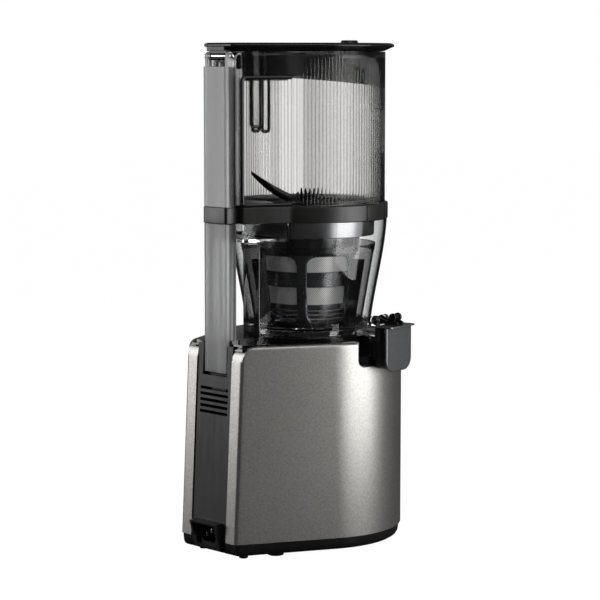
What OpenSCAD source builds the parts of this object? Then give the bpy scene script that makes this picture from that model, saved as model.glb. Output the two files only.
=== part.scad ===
// Cold press (slow) juicer with a large folding-lid hopper.
// Origin: on the floor, under the drive axis. +Z up, +Y to the rear, -X towards the juice spout.

/* [Base] */
// Radius of the cover round the drive axis
base_r = 93; // [89:1:98]
// Half width of the flat rear of the cover
rear_half_w = 41.4; // [39:0.2:42.4]
// Distance from the drive axis to the rear face at the floor
rear_y = 133.8; // [131.4:0.2:138]
// Backward lean of the rear face, in degrees
rear_lean = 3; // [2.6:0.1:3.2]
// Radius of the upright rear corners
corner_r = 4.5; // [4:0.5:6]
// Height of the floor gap and of the feet
foot_h = 5; // [3:0.5:6]
// Lower edge of the metal cover
cover_bottom = 17; // [16:0.5:19]
// Upper edge of the metal cover
cover_top = 206; // [204:0.5:208]
// Wall of the metal cover
cover_wall = 2; // [1.6:0.1:2.4]
// Rounding of the cover's upper edge
edge_r = 4; // [2:0.5:5]
// Half width of the rear panel
panel_half_w = 25; // [24:0.5:27]
// Thickness of the rear panel
panel_t = 3; // [2.5:0.5:4]
// Recess of the rear panel behind the cover's rear edge
panel_recess = 1.2; // [0.6:0.1:2]
// Wall of the black plastic parts
plastic_wall = 2.5; // [2:0.1:3]

/* [Drum and spout] */
// Outer radius of the drum at its rim
drum_top_r = 78; // [77:0.5:79]
// Outer radius of the drum at its foot
drum_foot_r = 62; // [60:0.5:64]
// Wall of the clear drum
drum_wall = 2.6; // [2.2:0.1:3]
// Height of the drum's foot above the cover
deck_rise = 3.2; // [3:0.1:4]
// Height of the drum
drum_h = 111.7; // [110.5:0.1:114]
// Distance of the strainer ledge below the drum's rim
ledge_drop = 17.2; // [15:0.1:19]
// Direction of the juice spout, in degrees from +X
spout_turn = 190.5; // [188:0.5:193]
// Radius of the juice spout tube
spout_r = 6.3; // [5.8:0.1:6.6]
// How far the spout tube ends short of the cover's round side
spout_short = 0.5; // [-1:0.1:1]
// Width of the juice cap
cap_w = 42; // [38:0.5:44]
// Height of the juice cap
cap_h = 43; // [40:0.5:44]
// Depth of the juice cap's cup
cap_depth = 13.2; // [12:0.2:16]
// Direction of the pulp outlet, in degrees from +X
pulp_turn = -45; // [-50:1:-40]

/* [Strainer and auger] */
// Outer radius of the strainer at its top ring
strainer_top_r = 50; // [48.5:0.5:51]
// Outer radius of the strainer at its bottom ring
strainer_foot_r = 41; // [39.5:0.5:42]
// Wall of the strainer frame
strainer_wall = 2.4; // [2:0.1:3]
// Number of windows round the strainer
window_count = 5; // [4:1:8]
// Direction of the first window, in degrees from +X
window_turn = 164.7; // [160:0.1:170]
// Outer radius of the wiper cage at its top ring
wiper_top_r = 67; // [66:0.5:68]
// Outer radius of the wiper cage at its foot
wiper_foot_r = 53.5; // [52.5:0.5:54]
// Direction of the first arm of the wiper cage, in degrees from +X
wiper_turn = 76.5; // [72:0.5:80]
// Number of turns of the auger's screw flights
auger_turn = 300; // [240:10:360]
// Height of the slicing wing above the auger
wing_h = 42; // [34:1:46]
// Reach of the slicing wing from the drive axis
wing_r = 60; // [54:0.5:61]

/* [Hopper and lid] */
// Outer radius of the hopper
hopper_r = 76; // [75:0.2:77]
// Wall of the hopper
hopper_wall = 2.5; // [2:0.1:3]
// Number of flutes round the hopper
flute_count = 134; // [100:2:150]
// Depth of a flute
flute_depth = 0.45; // [0.3:0.05:0.6]
// Radius of the dark ring under the hopper
ring_r = 79; // [78.6:0.1:80]
// Height of the dark ring
ring_h = 16; // [14:0.5:18]
// Height of the hopper's wall above its ring
hopper_h = 147; // [134.5:0.1:164.5]
// Radius of the lid
lid_r = 84.6; // [83.8:0.2:87]
// Thickness of the lid
lid_t = 8.2; // [7:0.2:10]
// Half width of the rear column
column_half_w = 16.4; // [15.5:0.1:17]
// Distance from the drive axis to the rear face of the column
column_y = 122.6; // [121.6:0.1:123]
// Depth of the rear column
column_depth = 13.6; // [12.6:0.1:14]
// Radius of the lid's hinge pin
pin_r = 1.6; // [1.4:0.1:2]

/* [Drive] */
// Distance between the drive axis and the idler shaft
shaft_gap = 36; // [36:0.5:38]
// Teeth of both small gears
pinion_teeth = 13; // [13:1:15]
// Teeth of the large gear on the idler shaft
idler_teeth = 59; // [55:1:61]
// Teeth of the large gear on the output shaft
output_teeth = 47; // [43:1:49]
// Width of the gears
gear_w = 9; // [7:0.5:10]
// Outer radius of the motor
motor_r = 41; // [38:0.5:43]
// Height of the motor
motor_h = 88; // [80:1:90]
// Radius of the motor shaft
motor_shaft_r = 4; // [3.5:0.1:4.5]
// Radius of the output shaft
output_shaft_r = 6; // [5.5:0.1:6.5]
// Number of fan blades
blade_count = 9; // [7:1:11]
// Radius of the control dial
dial_r = 17; // [15:0.5:19]

/* [Hidden] */

// Small gap between pieces that only lie against each other
gap = 0.3;
// Radial clearance of a pin or a shaft that turns in its hole
run = 0.05;
// Overlap that makes a cut go right through
cut = 1;
// Facets of large, medium and small rounds
fine = 96;
mid = 48;
low = 24;

// Base heights
pan_top = cover_bottom - gap;
deck_seat = cover_top - 5;
drum_bottom = cover_top + deck_rise;
drum_rim = drum_bottom + drum_h;
drum_ledge = drum_rim - ledge_drop;
deck_top = drum_bottom - gap;
ledge_z = cover_top - 28;
pocket_z = cover_top - 23.5;
pocket_half_w = 33;
channel_half_w = spout_r + 1.2;

// Column and keyhole outline
neck_y = column_y - column_depth;
neck_half_w = 25;
neck_turn = 35.5;
column_wall = 2.2;
column_clear = 0.8;

// Drive heights
gearbox_z = cover_top - 53;
motor_z = gearbox_z - 8 - motor_h;
fan_z = motor_z - 20;
gear1_z = gearbox_z + 4;
gear2_z = gear1_z + gear_w + 2;
gearbox_h = 2 * gear_w + 12;
gearbox_wall = 3;
shaft_top = drum_bottom + 25.8;
socket_depth = 16;
hex_r = output_shaft_r - 0.4;

// Gear sizes: both pairs share the same distance between shafts
module1 = 2 * shaft_gap / (pinion_teeth + idler_teeth);
module2 = 2 * shaft_gap / (pinion_teeth + output_teeth);
pressure = 20;
addendum = 0.8;
dedendum = 1.15;
backlash = 0.12;

// Hopper heights
ring_bottom = drum_rim + gap;
ring_top = ring_bottom + ring_h;
hopper_rim = ring_top + hopper_h;
floor_t = 3;
opening_r = wing_r + 3;
lid_z = hopper_rim + gap;
hinge_y = column_y - 6.6;
hinge_z = lid_z - 4.6;
barrel_r = 4;
rod_r = 1.5;
rod_y = hinge_y - 1.6;
rod_split_z = ring_bottom + 7;
presser_drop = 6;

// Juice cap
spout_reach = base_r - spout_short;
cap_top = drum_bottom + 10.6;
cap_x = spout_reach + 1;
cap_hinge_x = spout_reach - 7.1;
cap_hinge_z = drum_bottom + 15.5;
cap_pin_r = 1.5;
spout_z = drum_bottom - 1;
spout_start = 44;
plate_t = 2.4;

// Height of the rear face's lean
function rear_at(z) = rear_y - z * tan(rear_lean);
// A point on a circle
function polar(r, a) = [r * cos(a), r * sin(a)];
// A point on a cubic curve through four control values
function bezier(p, u) = p[0] * pow(1 - u, 3) + 3 * p[1] * u * pow(1 - u, 2)
    + 3 * p[2] * pow(u, 2) * (1 - u) + p[3] * pow(u, 3);

// ---- outlines ----

// A square with round corners
module round_square(w, h, r) {
    square([w - 2 * r, h], center = true);
    square([w, h - 2 * r], center = true);
    for (x = [-1, 1], y = [-1, 1])
        translate([x * (w / 2 - r), y * (h / 2 - r)]) circle(r, $fn = low);
}

// A large circle joined by tangents to two small ones behind it
module pear(r, small_r, x, y) {
    far = norm([x, y]);
    turn = atan2(y, x) - acos((r - small_r) / far);
    big = polar(r, turn);
    near = [x, y] + polar(small_r, turn);
    circle(r, $fn = fine);
    for (side = [-1, 1]) translate([side * x, y]) circle(small_r, $fn = low);
    polygon([big, near, [x, y + small_r], [-x, y + small_r], [-near[0], near[1]], [-big[0], big[1]]]);
}

// The round pot with its flared neck towards the column
module pot_outline(r, grow = 0) {
    corner = (r + grow) * [sin(neck_turn), cos(neck_turn)];
    circle(r + grow, $fn = fine);
    polygon([corner, [neck_half_w + grow, neck_y + min(grow, 0)], [-neck_half_w - grow,
        neck_y + min(grow, 0)],
        [-corner[0], corner[1]]]);
}

// The plan of the rear column
module column_outline(grow = 0) {
    translate([0, column_y - column_depth / 2])
        round_square(2 * (column_half_w + grow), column_depth + 2 * grow, max(0.4, 2 + grow));
}

// Places a piece in the direction of the juice spout, +X outwards
module at_spout() rotate([0, 0, spout_turn]) children();

// Places a piece in the direction of the pulp outlet, +X outwards
module at_pulp() rotate([0, 0, pulp_turn]) children();

// ---- base ----

// The body form between two heights, inset by a wall and rounded at its top edge
module body_form(inset, z0, z1, edge) {
    levels = edge > 0 ? [[z0, 0], [z1 - edge, 0], [z1 - 0.6 * edge, 0.08], [z1 - 0.2 * edge, 0.4], [z1, 1]]
        : [[z0, 0], [z1, 0]];
    hull() for (level = levels) {
        shrink = inset + level[1] * edge;
        translate([0, 0, level[0]]) {
            level_disc(base_r - shrink, level[0] > z0, 72);
            for (side = [-1, 1])
                translate([side * (rear_half_w - corner_r), rear_at(level[0]) - max(corner_r, shrink + 0.6)])
                    level_disc(max(0.6, corner_r - shrink), level[0] > z0, 16);
        }
    }
}

// A disc at one level of a hull; its other face is smaller, so that it stays inside the hull
module level_disc(r, down, facets) translate([0, 0, down ? -0.5 : 0])
    cylinder(r1 = r - (down ? 0.4 : 0), r2 = r - (down ? 0 : 0.4), h = 0.5, $fn = facets);

// A slab that lies along the leaning rear face, from depth near to depth far behind it
module rear_slab(half_w, z0, z1, near, far) {
    rotate([90, 0, 90]) translate([0, 0, -half_w]) linear_extrude(2 * half_w)
        polygon([[rear_at(z0) - far, z0], [rear_at(z0) - near, z0], [rear_at(z1) - near, z1],
            [rear_at(z1) - far, z1]]);
}

// The opening in the cover for the spout and its cap, with round lower corners
module spout_notch(half_w, z0, x0, x1, r) {
    at_spout() translate([x0, 0, 0]) rotate([90, 0, 90]) linear_extrude(x1 - x0) {
        translate([-half_w, z0 + r]) square([2 * half_w, 60]);
        translate([-half_w + r, z0]) square([2 * (half_w - r), 60]);
        for (side = [-1, 1]) translate([side * (half_w - r), z0 + r]) circle(r, $fn = low);
    }
}

module base_cover() color("DarkGray") difference() {
    body_form(0, cover_bottom, cover_top, edge_r);
    body_form(cover_wall, cover_bottom - cut, cover_top - cover_wall, 0);
    translate([0, 0, deck_seat]) linear_extrude(20) rim_outline(0);
    rear_slab(panel_half_w + gap, cover_bottom - cut, cover_top + cut, -5, 12);
    spout_notch(pocket_half_w + 3, pocket_z - 1, base_r - 22, base_r + 10, 7);
    translate([0, -base_r + 12, dial_z]) rotate([90, 0, 0]) cylinder(r = 9, h = 30, $fn = mid);
}
dial_z = 118;
// Width of the cover's top edge, from its side to the black deck
rim_w = edge_r + 1.2;

// Outline of the opening in the cover's top edge, drawn in by shrink
module rim_outline(shrink) {
    small = 3;
    pear(base_r - rim_w - shrink, small, rear_half_w - rim_w - small - shrink, rear_at(cover_top)
        - rim_w - small - shrink);
}

module top_deck() color("#18181a") difference() {
    union() {
        body_form(cover_wall + gap, deck_seat, cover_top - cover_wall - gap, 0);
        translate([0, 0, deck_seat]) linear_extrude(cover_top + 0.8 - deck_seat) rim_outline(gap);
        translate([0, 0, cover_top]) cylinder(r1 = base_r - rim_w - 2, r2 = drum_foot_r + 12,
            h = deck_top - cover_top,
            $fn = fine);
        // raised collar round the foot of the column
        translate([0, 0, ledge_z - 3]) linear_extrude(cover_top + 7 - ledge_z) intersection() {
            column_outline(column_clear + plastic_wall);
            translate([-60, neck_y - 6]) square([120, rear_at(cover_top)
                - panel_recess - panel_t - gap - neck_y + 6]);
        }
        // wall and floor of the pocket behind the juice cap
        intersection() {
            body_form(cover_wall + gap, pocket_z - 3.4, cover_top - cover_wall - gap, 0);
            spout_notch(pocket_half_w + 5, pocket_z - 3.4, base_r - 30, base_r + 10, 7);
        }
        intersection() {
            body_form(cover_wall + gap, deck_seat, cover_top, 0);
            spout_notch(pocket_half_w + 3 - gap, pocket_z - 3.4, base_r - 30, base_r + 10, 7);
        }
    }
    // hollow under the plate
    difference() {
        translate([0, 0, deck_seat - cut]) cylinder(r = base_r - 9, h = deck_top - deck_seat - 3,
            $fn = fine);
        spout_notch(pocket_half_w + 5, pocket_z - 3.4, base_r - 30, base_r + 10, 7);
        at_spout() translate([drum_hub_r - 4, -channel_half_w - 3, deck_seat - cut])
            cube([base_r, 2 * channel_half_w + 6, 20]);
        translate([0, 0, deck_seat - 2]) cylinder(r = 22, h = 20, $fn = mid);
    }
    // step over the top of the rear panel
    rear_slab(panel_half_w + gap, deck_seat - cut, cover_top - 1 + gap, -5, panel_recess + panel_t + gap);
    // room for the drum's foot and hub
    translate([0, 0, deck_top - 0.8]) difference() {
        cylinder(r = drum_foot_r + 1, h = 5, $fn = fine);
        translate([0, 0, -cut]) cylinder(r = drum_foot_r - 8, h = 9, $fn = fine);
    }
    translate([0, 0, deck_seat - 10]) cylinder(r = output_shaft_r + 1.5, h = 30, $fn = mid);
    // pocket and channel of the spout
    spout_notch(pocket_half_w, pocket_z, base_r - 26, base_r + 10, 5);
    at_spout() translate([spout_start - spout_r - 1.5, -channel_half_w, spout_z - spout_r - 0.8])
        cube([base_r, 2 * channel_half_w, 30]);
    // well of the column and hole of the interlock rod
    translate([0, 0, ledge_z]) linear_extrude(60) column_outline(column_clear);
    translate([0, rod_y, ledge_z - 10]) cylinder(r = rod_r + 1, h = 20, $fn = low);
}
drum_hub_r = 16;

vent_pitch = 5.7;
vent_slot = 2.9;
vent_low_z = ledge_z - 40;
module rear_panel() color("#333335") difference() {
    union() {
        rear_slab(panel_half_w, cover_bottom, cover_top - 1, panel_recess, panel_recess + panel_t);
        // hood round the mains inlet
        hood_form(0, 0);
        // posts that carry the control board
        for (x = [-1, 1], z = [board_z + 6, board_z + board_h - 6]) translate([x * 17, board_y, z])
            rotate([-90, 0, 0]) cylinder(r = 3, h = rear_at(z) - board_y - 2, $fn = low);
    }
    hood_form(plastic_wall, 1);
    translate([-inlet_w / 2 - gap, 90, inlet_z - inlet_h / 2 - gap])
        cube([inlet_w + 2 * gap, 60, inlet_h + 2 * gap]);
    for (i = [0:4]) translate([-20, 110, vent_low_z + i * vent_pitch]) cube([40, 30, vent_slot]);
    translate([-column_half_w - 1.2, 90, ledge_z - 3.1]) cube([2 * column_half_w + 2.4, 60, 60]);
}
inlet_w = 28;
inlet_h = 20;
inlet_z = 21.5;
hood_half_w = 18.5;
hood_top = 35;
hood_reach = 9;
board_y = 100;
board_z = 60;
board_h = 70;

// The hood's wedge: far out at its roof, flush at its foot
module hood_form(inset, open) {
    out = hood_reach + 10 * open;
    rotate([90, 0, 90]) translate([0, 0, inset - hood_half_w]) linear_extrude(2 * (hood_half_w - inset))
        polygon([[rear_at(8) - 4 + 7 * open, 8 + inset], [rear_at(8) + 10 * open, 8 + inset],
            [rear_at(hood_top) + out, hood_top - inset - 1], [rear_at(hood_top) - 4 + 7 * open,
                hood_top - inset]]);
}

// Solid of the pan: upright above, drawn in at its foot
module pan_form(inset, z0, z1) hull() for (level = [[z0, 6], [z0 + 8, 2], [z1, 1.6]])
    translate([0, 0, level[0]]) {
        level_disc(base_r - level[1] - inset, level[0] > z0, 72);
        for (side = [-1, 1])
            translate([side * (rear_half_w - corner_r), rear_at(level[0]) - 6 - 0.6 - inset])
                level_disc(6.6 - level[1], level[0] > z0, 16);
    }

module bottom_pan() color("#1c1c1e") difference() {
    pan_form(0, foot_h, pan_top);
    pan_form(plastic_wall, foot_h + plastic_wall, pan_top + cut);
    translate([-hood_half_w - gap, rear_at(0) - 26, 8 - gap]) cube([2 * (hood_half_w + gap), 60, 30]);
    // air intake under the fan
    for (a = [0:30:330]) rotate([0, 0, a]) translate([12, -1.6, 0]) cube([22, 3.2, 12]);
    for (f = feet) translate([f[0], f[1], foot_h - cut]) cylinder(r = f[2] - 1.2, h = 2.2, $fn = low);
}
// Places and radii of the feet
feet = [[-29, 113, 4.5], [29, 113, 4.5], [-40, 81, 8], [40, 81, 8], [-65, -6, 5], [65, -6, 5],
    [-34, -66, 5], [34, -66, 5]];

module rubber_feet() color("#101010") for (f = feet) translate([f[0], f[1], 0]) {
    cylinder(r1 = f[2] - 0.8, r2 = f[2], h = 1, $fn = low);
    translate([0, 0, 1]) cylinder(r = f[2], h = foot_h - 1, $fn = low);
    translate([0, 0, foot_h]) cylinder(r = f[2] - 1.3, h = 1, $fn = low);
}

module inlet_socket() color("#141414") difference() {
    translate([-inlet_w / 2, rear_at(inlet_z) - 26, inlet_z - inlet_h / 2]) cube([inlet_w, 25, inlet_h]);
    // cavity with its two bevelled lower corners
    translate([0, rear_at(inlet_z) - 18, inlet_z]) rotate([-90, 0, 0]) linear_extrude(30)
        polygon([[-12, -8], [12, -8], [12, 3], [7, 8], [-7, 8], [-12, 3]]);
    for (p = pins) translate([p[0], rear_at(inlet_z) - 28, inlet_z + p[1]]) cube([2.2, 60, 4.2],
        center = true);
}
// Places of the three contact pins
pins = [[-7, -1.5], [7, -1.5], [0, 2.5]];

module inlet_pins() color("Silver") for (p = pins)
    translate([p[0] - 1, rear_at(inlet_z) - 30, inlet_z + p[1] - 2]) cube([2, 26, 4]);

// ---- motor ----

module stator_core() color("#8a8c90") translate([0, 0, motor_z + 22]) difference() {
    cylinder(r = motor_r, h = motor_h - 44, $fn = fine);
    translate([0, 0, -cut]) cylinder(r = motor_r - 17.5, h = motor_h, $fn = mid);
}

module stator_winding() color("#b5652a") for (z = [motor_z + 9, motor_z + motor_h - 22 + gap])
    translate([0, 0, z]) rotate_extrude($fn = mid) translate([motor_r - 10, 6.35]) round_square(12, 12.1, 3);

module motor_end_bells() color("#a8aaad") for (end = [0, 1])
    translate([0, 0, motor_z + end * motor_h]) mirror([0, 0, end]) difference() {
        union() {
            cylinder(r = motor_r, h = 22, $fn = fine);
            if (end == 0) for (a = post_turns) rotate([0, 0, a]) {
                translate([post_reach, 0, 0]) cylinder(r = post_r, h = 6, $fn = low);
                translate([motor_r - 3, -post_r, 0]) cube([post_reach - motor_r + 3, 2 * post_r, 6]);
            }
        }
        translate([0, 0, 3]) cylinder(r = motor_r - 3, h = 30, $fn = fine);
        translate([0, 0, -cut]) cylinder(r = bearing_r, h = 30, $fn = mid);
        for (a = [0:45:315]) rotate([0, 0, a]) translate([motor_r - 20, -4, -cut]) cube([12, 8, 8]);
    }
bearing_r = 11;
bearing_w = 7;
post_r = 5;
post_reach = motor_r + post_r + 1;
post_turns = [45:90:315];

module motor_posts() color("#1c1c1e") for (a = post_turns) rotate([0, 0, a])
    translate([post_reach, 0, foot_h + plastic_wall + 0.02]) {
        cylinder(r = post_r, h = motor_z - foot_h - plastic_wall - 0.04, $fn = low);
        cylinder(r = post_r + 4, h = 3, $fn = low);
    }

module motor_bearings() color("Silver") for (z = [motor_z - 2, motor_z + motor_h - bearing_w + 2])
    translate([0, 0, z]) difference() {
        cylinder(r = bearing_r, h = bearing_w, $fn = mid);
        translate([0, 0, -cut]) cylinder(r = motor_shaft_r + run, h = 30, $fn = mid);
    }

module rotor_core() color("#77797d") translate([0, 0, motor_z + 20]) difference() {
    cylinder(r = motor_r - 18.5, h = motor_h - 40, $fn = mid);
    translate([0, 0, -cut]) cylinder(r = motor_shaft_r, h = motor_h, $fn = mid);
}

module motor_shaft() color("Silver") {
    translate([0, 0, fan_z]) cylinder(r = motor_shaft_r, h = gear1_z - fan_z, $fn = mid);
    translate([0, 0, gear1_z]) rotate([0, 0, -90]) gear(pinion_teeth, module1, gear_w, 0);
}

module cooling_fan() color("#202022") translate([0, 0, fan_z + 1]) difference() {
    union() {
        cylinder(r = 9, h = 13, $fn = mid);
        cylinder(r = motor_r - 4, h = 1.6, $fn = fine);
        for (i = [0:blade_count - 1]) rotate([0, 0, i * 360 / blade_count])
            translate([7, 0, 0.8]) rotate([0, 0, 25]) cube([22, 1.4, 11.4]);
    }
    translate([0, 0, -cut]) cylinder(r = motor_shaft_r, h = 30, $fn = mid);
}

// ---- gears ----

// A point of an involute that starts on radius rb, after turning by t degrees
function involute(rb, t) = rb * [cos(t) + t * PI / 180 * sin(t), sin(t) - t * PI / 180 * cos(t)];
// Turn of an involute where it reaches radius r
function roll(rb, r) = sqrt(max(0, pow(r / rb, 2) - 1)) * 180 / PI;
// Polar angle of that point
function flank_angle(rb, r) = roll(rb, r) - atan(roll(rb, r) * PI / 180);

// Spur gear with its first tooth on +X
module gear(teeth, m, w, hole) {
    rp = m * teeth / 2;
    rb = rp * cos(pressure);
    ra = rp + addendum * m;
    rf = rp - dedendum * m;
    half = 90 / teeth - backlash / 2 / rp * 180 / PI + flank_angle(rb, rp);
    steps = [for (i = [0:3]) max(rb, rf) + (ra - max(rb, rf)) * i / 3];
    right = concat([polar(rf, -half)], [for (r = steps) polar(r, -half + flank_angle(rb, r))]);
    left = concat([for (i = [3:-1:0]) polar(steps[i], half - flank_angle(rb, steps[i]))], [polar(rf, half)]);
    tooth = concat(right, left);
    linear_extrude(w) difference() {
        polygon([for (k = [0:teeth - 1]) for (p = tooth)
            [p[0] * cos(k * 360 / teeth) - p[1] * sin(k * 360 / teeth),
             p[0] * sin(k * 360 / teeth) + p[1] * cos(k * 360 / teeth)]]);
        if (hole > 0) circle(hole, $fn = mid);
    }
}

module at_idler() translate([0, -shaft_gap, 0]) children();
idler_shaft_r = 4;

module idler_gear() color("#d9d4c2") at_idler() translate([0, 0, gear1_z]) difference() {
    rotate([0, 0, 90 + 180 / idler_teeth]) gear(idler_teeth, module1, gear_w, idler_shaft_r);
    // web between the rim and the hub
    for (z = [-cut, gear_w - 2.5]) translate([0, 0, z]) difference() {
        cylinder(r = module1 * idler_teeth / 2 - 4.5, h = 2.5 + cut, $fn = mid);
        translate([0, 0, -cut]) cylinder(r = 11, h = 9, $fn = mid);
    }
}

module idler_shaft() color("Silver") at_idler() {
    translate([0, 0, gearbox_z - gearbox_wall + 0.2]) cylinder(r = idler_shaft_r,
        h = gearbox_h + gearbox_wall + 3, $fn = mid);
    translate([0, 0, gear2_z]) rotate([0, 0, 90]) gear(pinion_teeth, module2, gear_w, 0);
}

module output_gear() color("#9a9ca0") translate([0, 0, gear2_z]) difference() {
    rotate([0, 0, -90 + 180 / output_teeth]) gear(output_teeth, module2, gear_w, output_shaft_r);
    for (a = [0:60:300]) rotate([0, 0, a]) translate([17, 0, -cut]) cylinder(r = 4.5, h = 30, $fn = low);
}

module output_shaft() color("Silver") {
    translate([0, 0, gear2_z]) cylinder(r = output_shaft_r, h = shaft_top - socket_depth - gear2_z,
        $fn = mid);
    translate([0, 0, shaft_top - socket_depth - 4]) cylinder(r = hex_r, h = socket_depth + 4, $fn = 6);
}

// Plan of the gearbox: a circle round each shaft, joined by tangents
module gearbox_outline(grow) {
    r1 = gearbox_r1 + grow;
    r2 = gearbox_r2 + grow;
    turn = asin((r2 - r1) / shaft_gap);
    circle(r1, $fn = fine);
    translate([0, -shaft_gap]) circle(r2, $fn = fine);
    polygon([polar(r1, -turn), [0, -shaft_gap] + polar(r2, -turn), [0, -shaft_gap] + polar(r2, 180 + turn),
        polar(r1, 180 + turn)]);
}

// Centres of the gearbox screws, in the middle of its wall
gearbox_r1 = module2 * output_teeth / 2 + 4;
gearbox_r2 = module1 * idler_teeth / 2 + 3;
screw_spots = concat([for (a = [30, 90, 150]) polar(gearbox_r1 + gearbox_wall / 2, a)],
    [for (a = [-150, -90, -30]) [0, -shaft_gap] + polar(gearbox_r2 + gearbox_wall / 2, a)]);
screw_r = 0.9;

module gearbox_screws() color("Silver") for (spot = screw_spots)
    translate([spot[0], spot[1], gearbox_z + gearbox_h - 8]) {
        cylinder(r = screw_r, h = 12.1, $fn = low);
        translate([0, 0, 12.02]) cylinder(r = 2.4, h = 1.8, $fn = low);
    }

module screw_holes() for (spot = screw_spots)
    translate([spot[0], spot[1], gearbox_z + gearbox_h - 9]) cylinder(r = screw_r + 0.01, h = 30, $fn = low);

module gearbox_housing() color("#b9bbbe") difference() {
    translate([0, 0, gearbox_z - gearbox_wall]) gearbox_cup();
    screw_holes();
}

module gearbox_cup() difference() {
    union() {
        linear_extrude(gearbox_h + gearbox_wall) gearbox_outline(gearbox_wall);
        for (a = [45:90:315]) rotate([0, 0, a]) translate([motor_r - 6, 0, 0.02 - motor_standoff])
            cylinder(r = 5, h = motor_standoff + gearbox_wall - 0.02, $fn = low);
    }
    translate([0, 0, gearbox_wall]) linear_extrude(gearbox_h + cut) gearbox_outline(0);
    translate([0, 0, -cut]) cylinder(r = motor_shaft_r + 2, h = 20, $fn = mid);
    at_idler() translate([0, 0, -cut]) cylinder(r = idler_shaft_r + 2, h = 20, $fn = mid);
}
motor_standoff = gearbox_z - gearbox_wall - motor_z - motor_h;

module gearbox_cover() color("#c3c5c8") difference() {
    translate([0, 0, gearbox_z + gearbox_h]) {
        linear_extrude(4) gearbox_outline(gearbox_wall);
        cylinder(r = output_shaft_r + 7, h = 14, $fn = mid);
    }
    translate([0, 0, gearbox_z + gearbox_h - cut]) cylinder(r = output_shaft_r + 3, h = 40, $fn = mid);
    at_idler() translate([0, 0, gearbox_z + gearbox_h - cut]) cylinder(r = idler_shaft_r + 2, h = 40,
        $fn = mid);
    screw_holes();
}

module bush(r, h) difference() {
    cylinder(r = r + 2 + (r > 5 ? 1 : 0), h = h, $fn = mid);
    translate([0, 0, -cut]) cylinder(r = r + run, h = h + 2 * cut, $fn = mid);
}

module gearbox_bushes() color("#c58b3a") {
    translate([0, 0, gearbox_z + gearbox_h]) bush(output_shaft_r, 14);
    at_idler() translate([0, 0, gearbox_z - gearbox_wall]) bush(idler_shaft_r, gearbox_wall);
    at_idler() translate([0, 0, gearbox_z + gearbox_h]) bush(idler_shaft_r, 4);
}

// ---- controls ----

module control_board() color("#1f5c33") translate([-22, board_y - 1.6 - 0.02, board_z]) {
    cube([44, 1.6, board_h]);
    translate([6, -11.98, 8]) cube([14, 12, 18]);
    translate([26, -7.98, 10]) cube([12, 8, 12]);
    translate([14, -15.98, 48]) rotate([-90, 0, 0]) cylinder(r = 6, h = 16, $fn = low);
}

module dial_switch() color("#26262a") translate([0, -base_r + cover_wall + 1, dial_z]) rotate([-90, 0, 0]) {
    difference() {
        translate([-13, -13, 0.5]) cube([26, 26, 20]);
        translate([0, 0, -cut]) cylinder(r = 3 + run, h = 16, $fn = mid);
    }
}

module control_dial() color("#2a2a2c") translate([0, -base_r - 1.2, dial_z]) rotate([90, 0, 0]) {
    cylinder(r = dial_r, h = 9, $fn = fine);
    translate([0, 0, 9]) cylinder(r1 = dial_r, r2 = dial_r - 2, h = 2, $fn = fine);
    translate([-1.2, 3, 11]) cube([2.4, dial_r - 6, 0.8]);
    translate([0, 0, -13]) cylinder(r = 3, h = 14, $fn = mid);
}

module interlock_switch() color("#2b2b30") {
    difference() {
        translate([-10, rod_y - 4, ledge_z - 21]) cube([20, 8, 17.98]);
        translate([0, rod_y, ledge_z - 8]) cylinder(r = rod_r + 0.7, h = 9, $fn = low);
    }
    translate([0, rod_y, ledge_z - 8.1]) cylinder(r = rod_r, h = 2.7, $fn = low);
}

// ---- drum ----

// Outer profile of the drum wall, from foot to rim
function drum_r_at(u) = bezier([drum_foot_r, drum_foot_r + 2.5, drum_top_r - 1, drum_top_r], u);
function drum_z_at(u) = bezier([drum_floor, drum_floor + 30, drum_floor + 75, drum_rim], u);
drum_floor = drum_bottom + 5.4;
drum_floor_t = 3;
rise = [for (i = [0:10]) i / 10];

// The pot of the drum, with its holes for the pulp and the drive shaft
module drum() color([0.85, 0.88, 0.9, 0.35]) difference() {
    rotate_extrude($fn = fine) polygon(concat([[0, drum_floor], [drum_foot_r - 4, drum_floor],
        [drum_foot_r - 4, drum_bottom], [drum_foot_r, drum_bottom]],
        [for (u = rise) [drum_r_at(u), drum_z_at(u)]], [[0, drum_rim]]));
    rotate_extrude($fn = fine) polygon(concat([[0, drum_floor + drum_floor_t],
        [drum_foot_r - drum_wall, drum_floor + drum_floor_t]],
        [for (u = rise) if (drum_z_at(u) > drum_floor + drum_floor_t) [drum_r_at(u) - drum_wall,
            drum_z_at(u)]],
        [[drum_top_r - drum_wall, drum_rim + cut], [0, drum_rim + cut]]));
    at_pulp() translate([duct_start - 5, -duct_w / 2 + drum_wall, drum_floor + drum_floor_t])
        cube([duct_reach - duct_start, duct_w - 2 * drum_wall, duct_h - drum_wall - drum_floor_t]);
    // juice hole over the spout, and room for the tube under the floor
    at_spout() translate([spout_start + 8, 0, spout_z]) cylinder(r = spout_r - 2, h = 20, $fn = mid);
    at_spout() translate([0, 0, spout_z]) rotate([0, 90, 0]) cylinder(r = spout_r + 0.02, h = base_r,
        $fn = mid);
    // hub hole for the drive shaft
    translate([0, 0, drum_bottom - cut]) cylinder(r = drum_hub_r - 4, h = 30, $fn = mid);
}

// Hollow neck that joins the drum's rim to the column
module drum_neck() color([0.85, 0.88, 0.9, 0.35]) difference() {
    translate([0, 0, drum_ledge]) linear_extrude(drum_rim - drum_ledge) neck_outline(0);
    translate([0, 0, drum_ledge + drum_wall]) linear_extrude(60) neck_outline(drum_wall);
}

module neck_outline(inset) difference() {
    pot_outline(drum_top_r, -inset);
    circle(drum_top_r + 0.02 + inset, $fn = fine);
    translate([-60, neck_y - gap - inset]) square([120, 40]);
    translate([-100, -100]) square([200, 100 + drum_top_r * cos(neck_turn)]);
}

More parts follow.
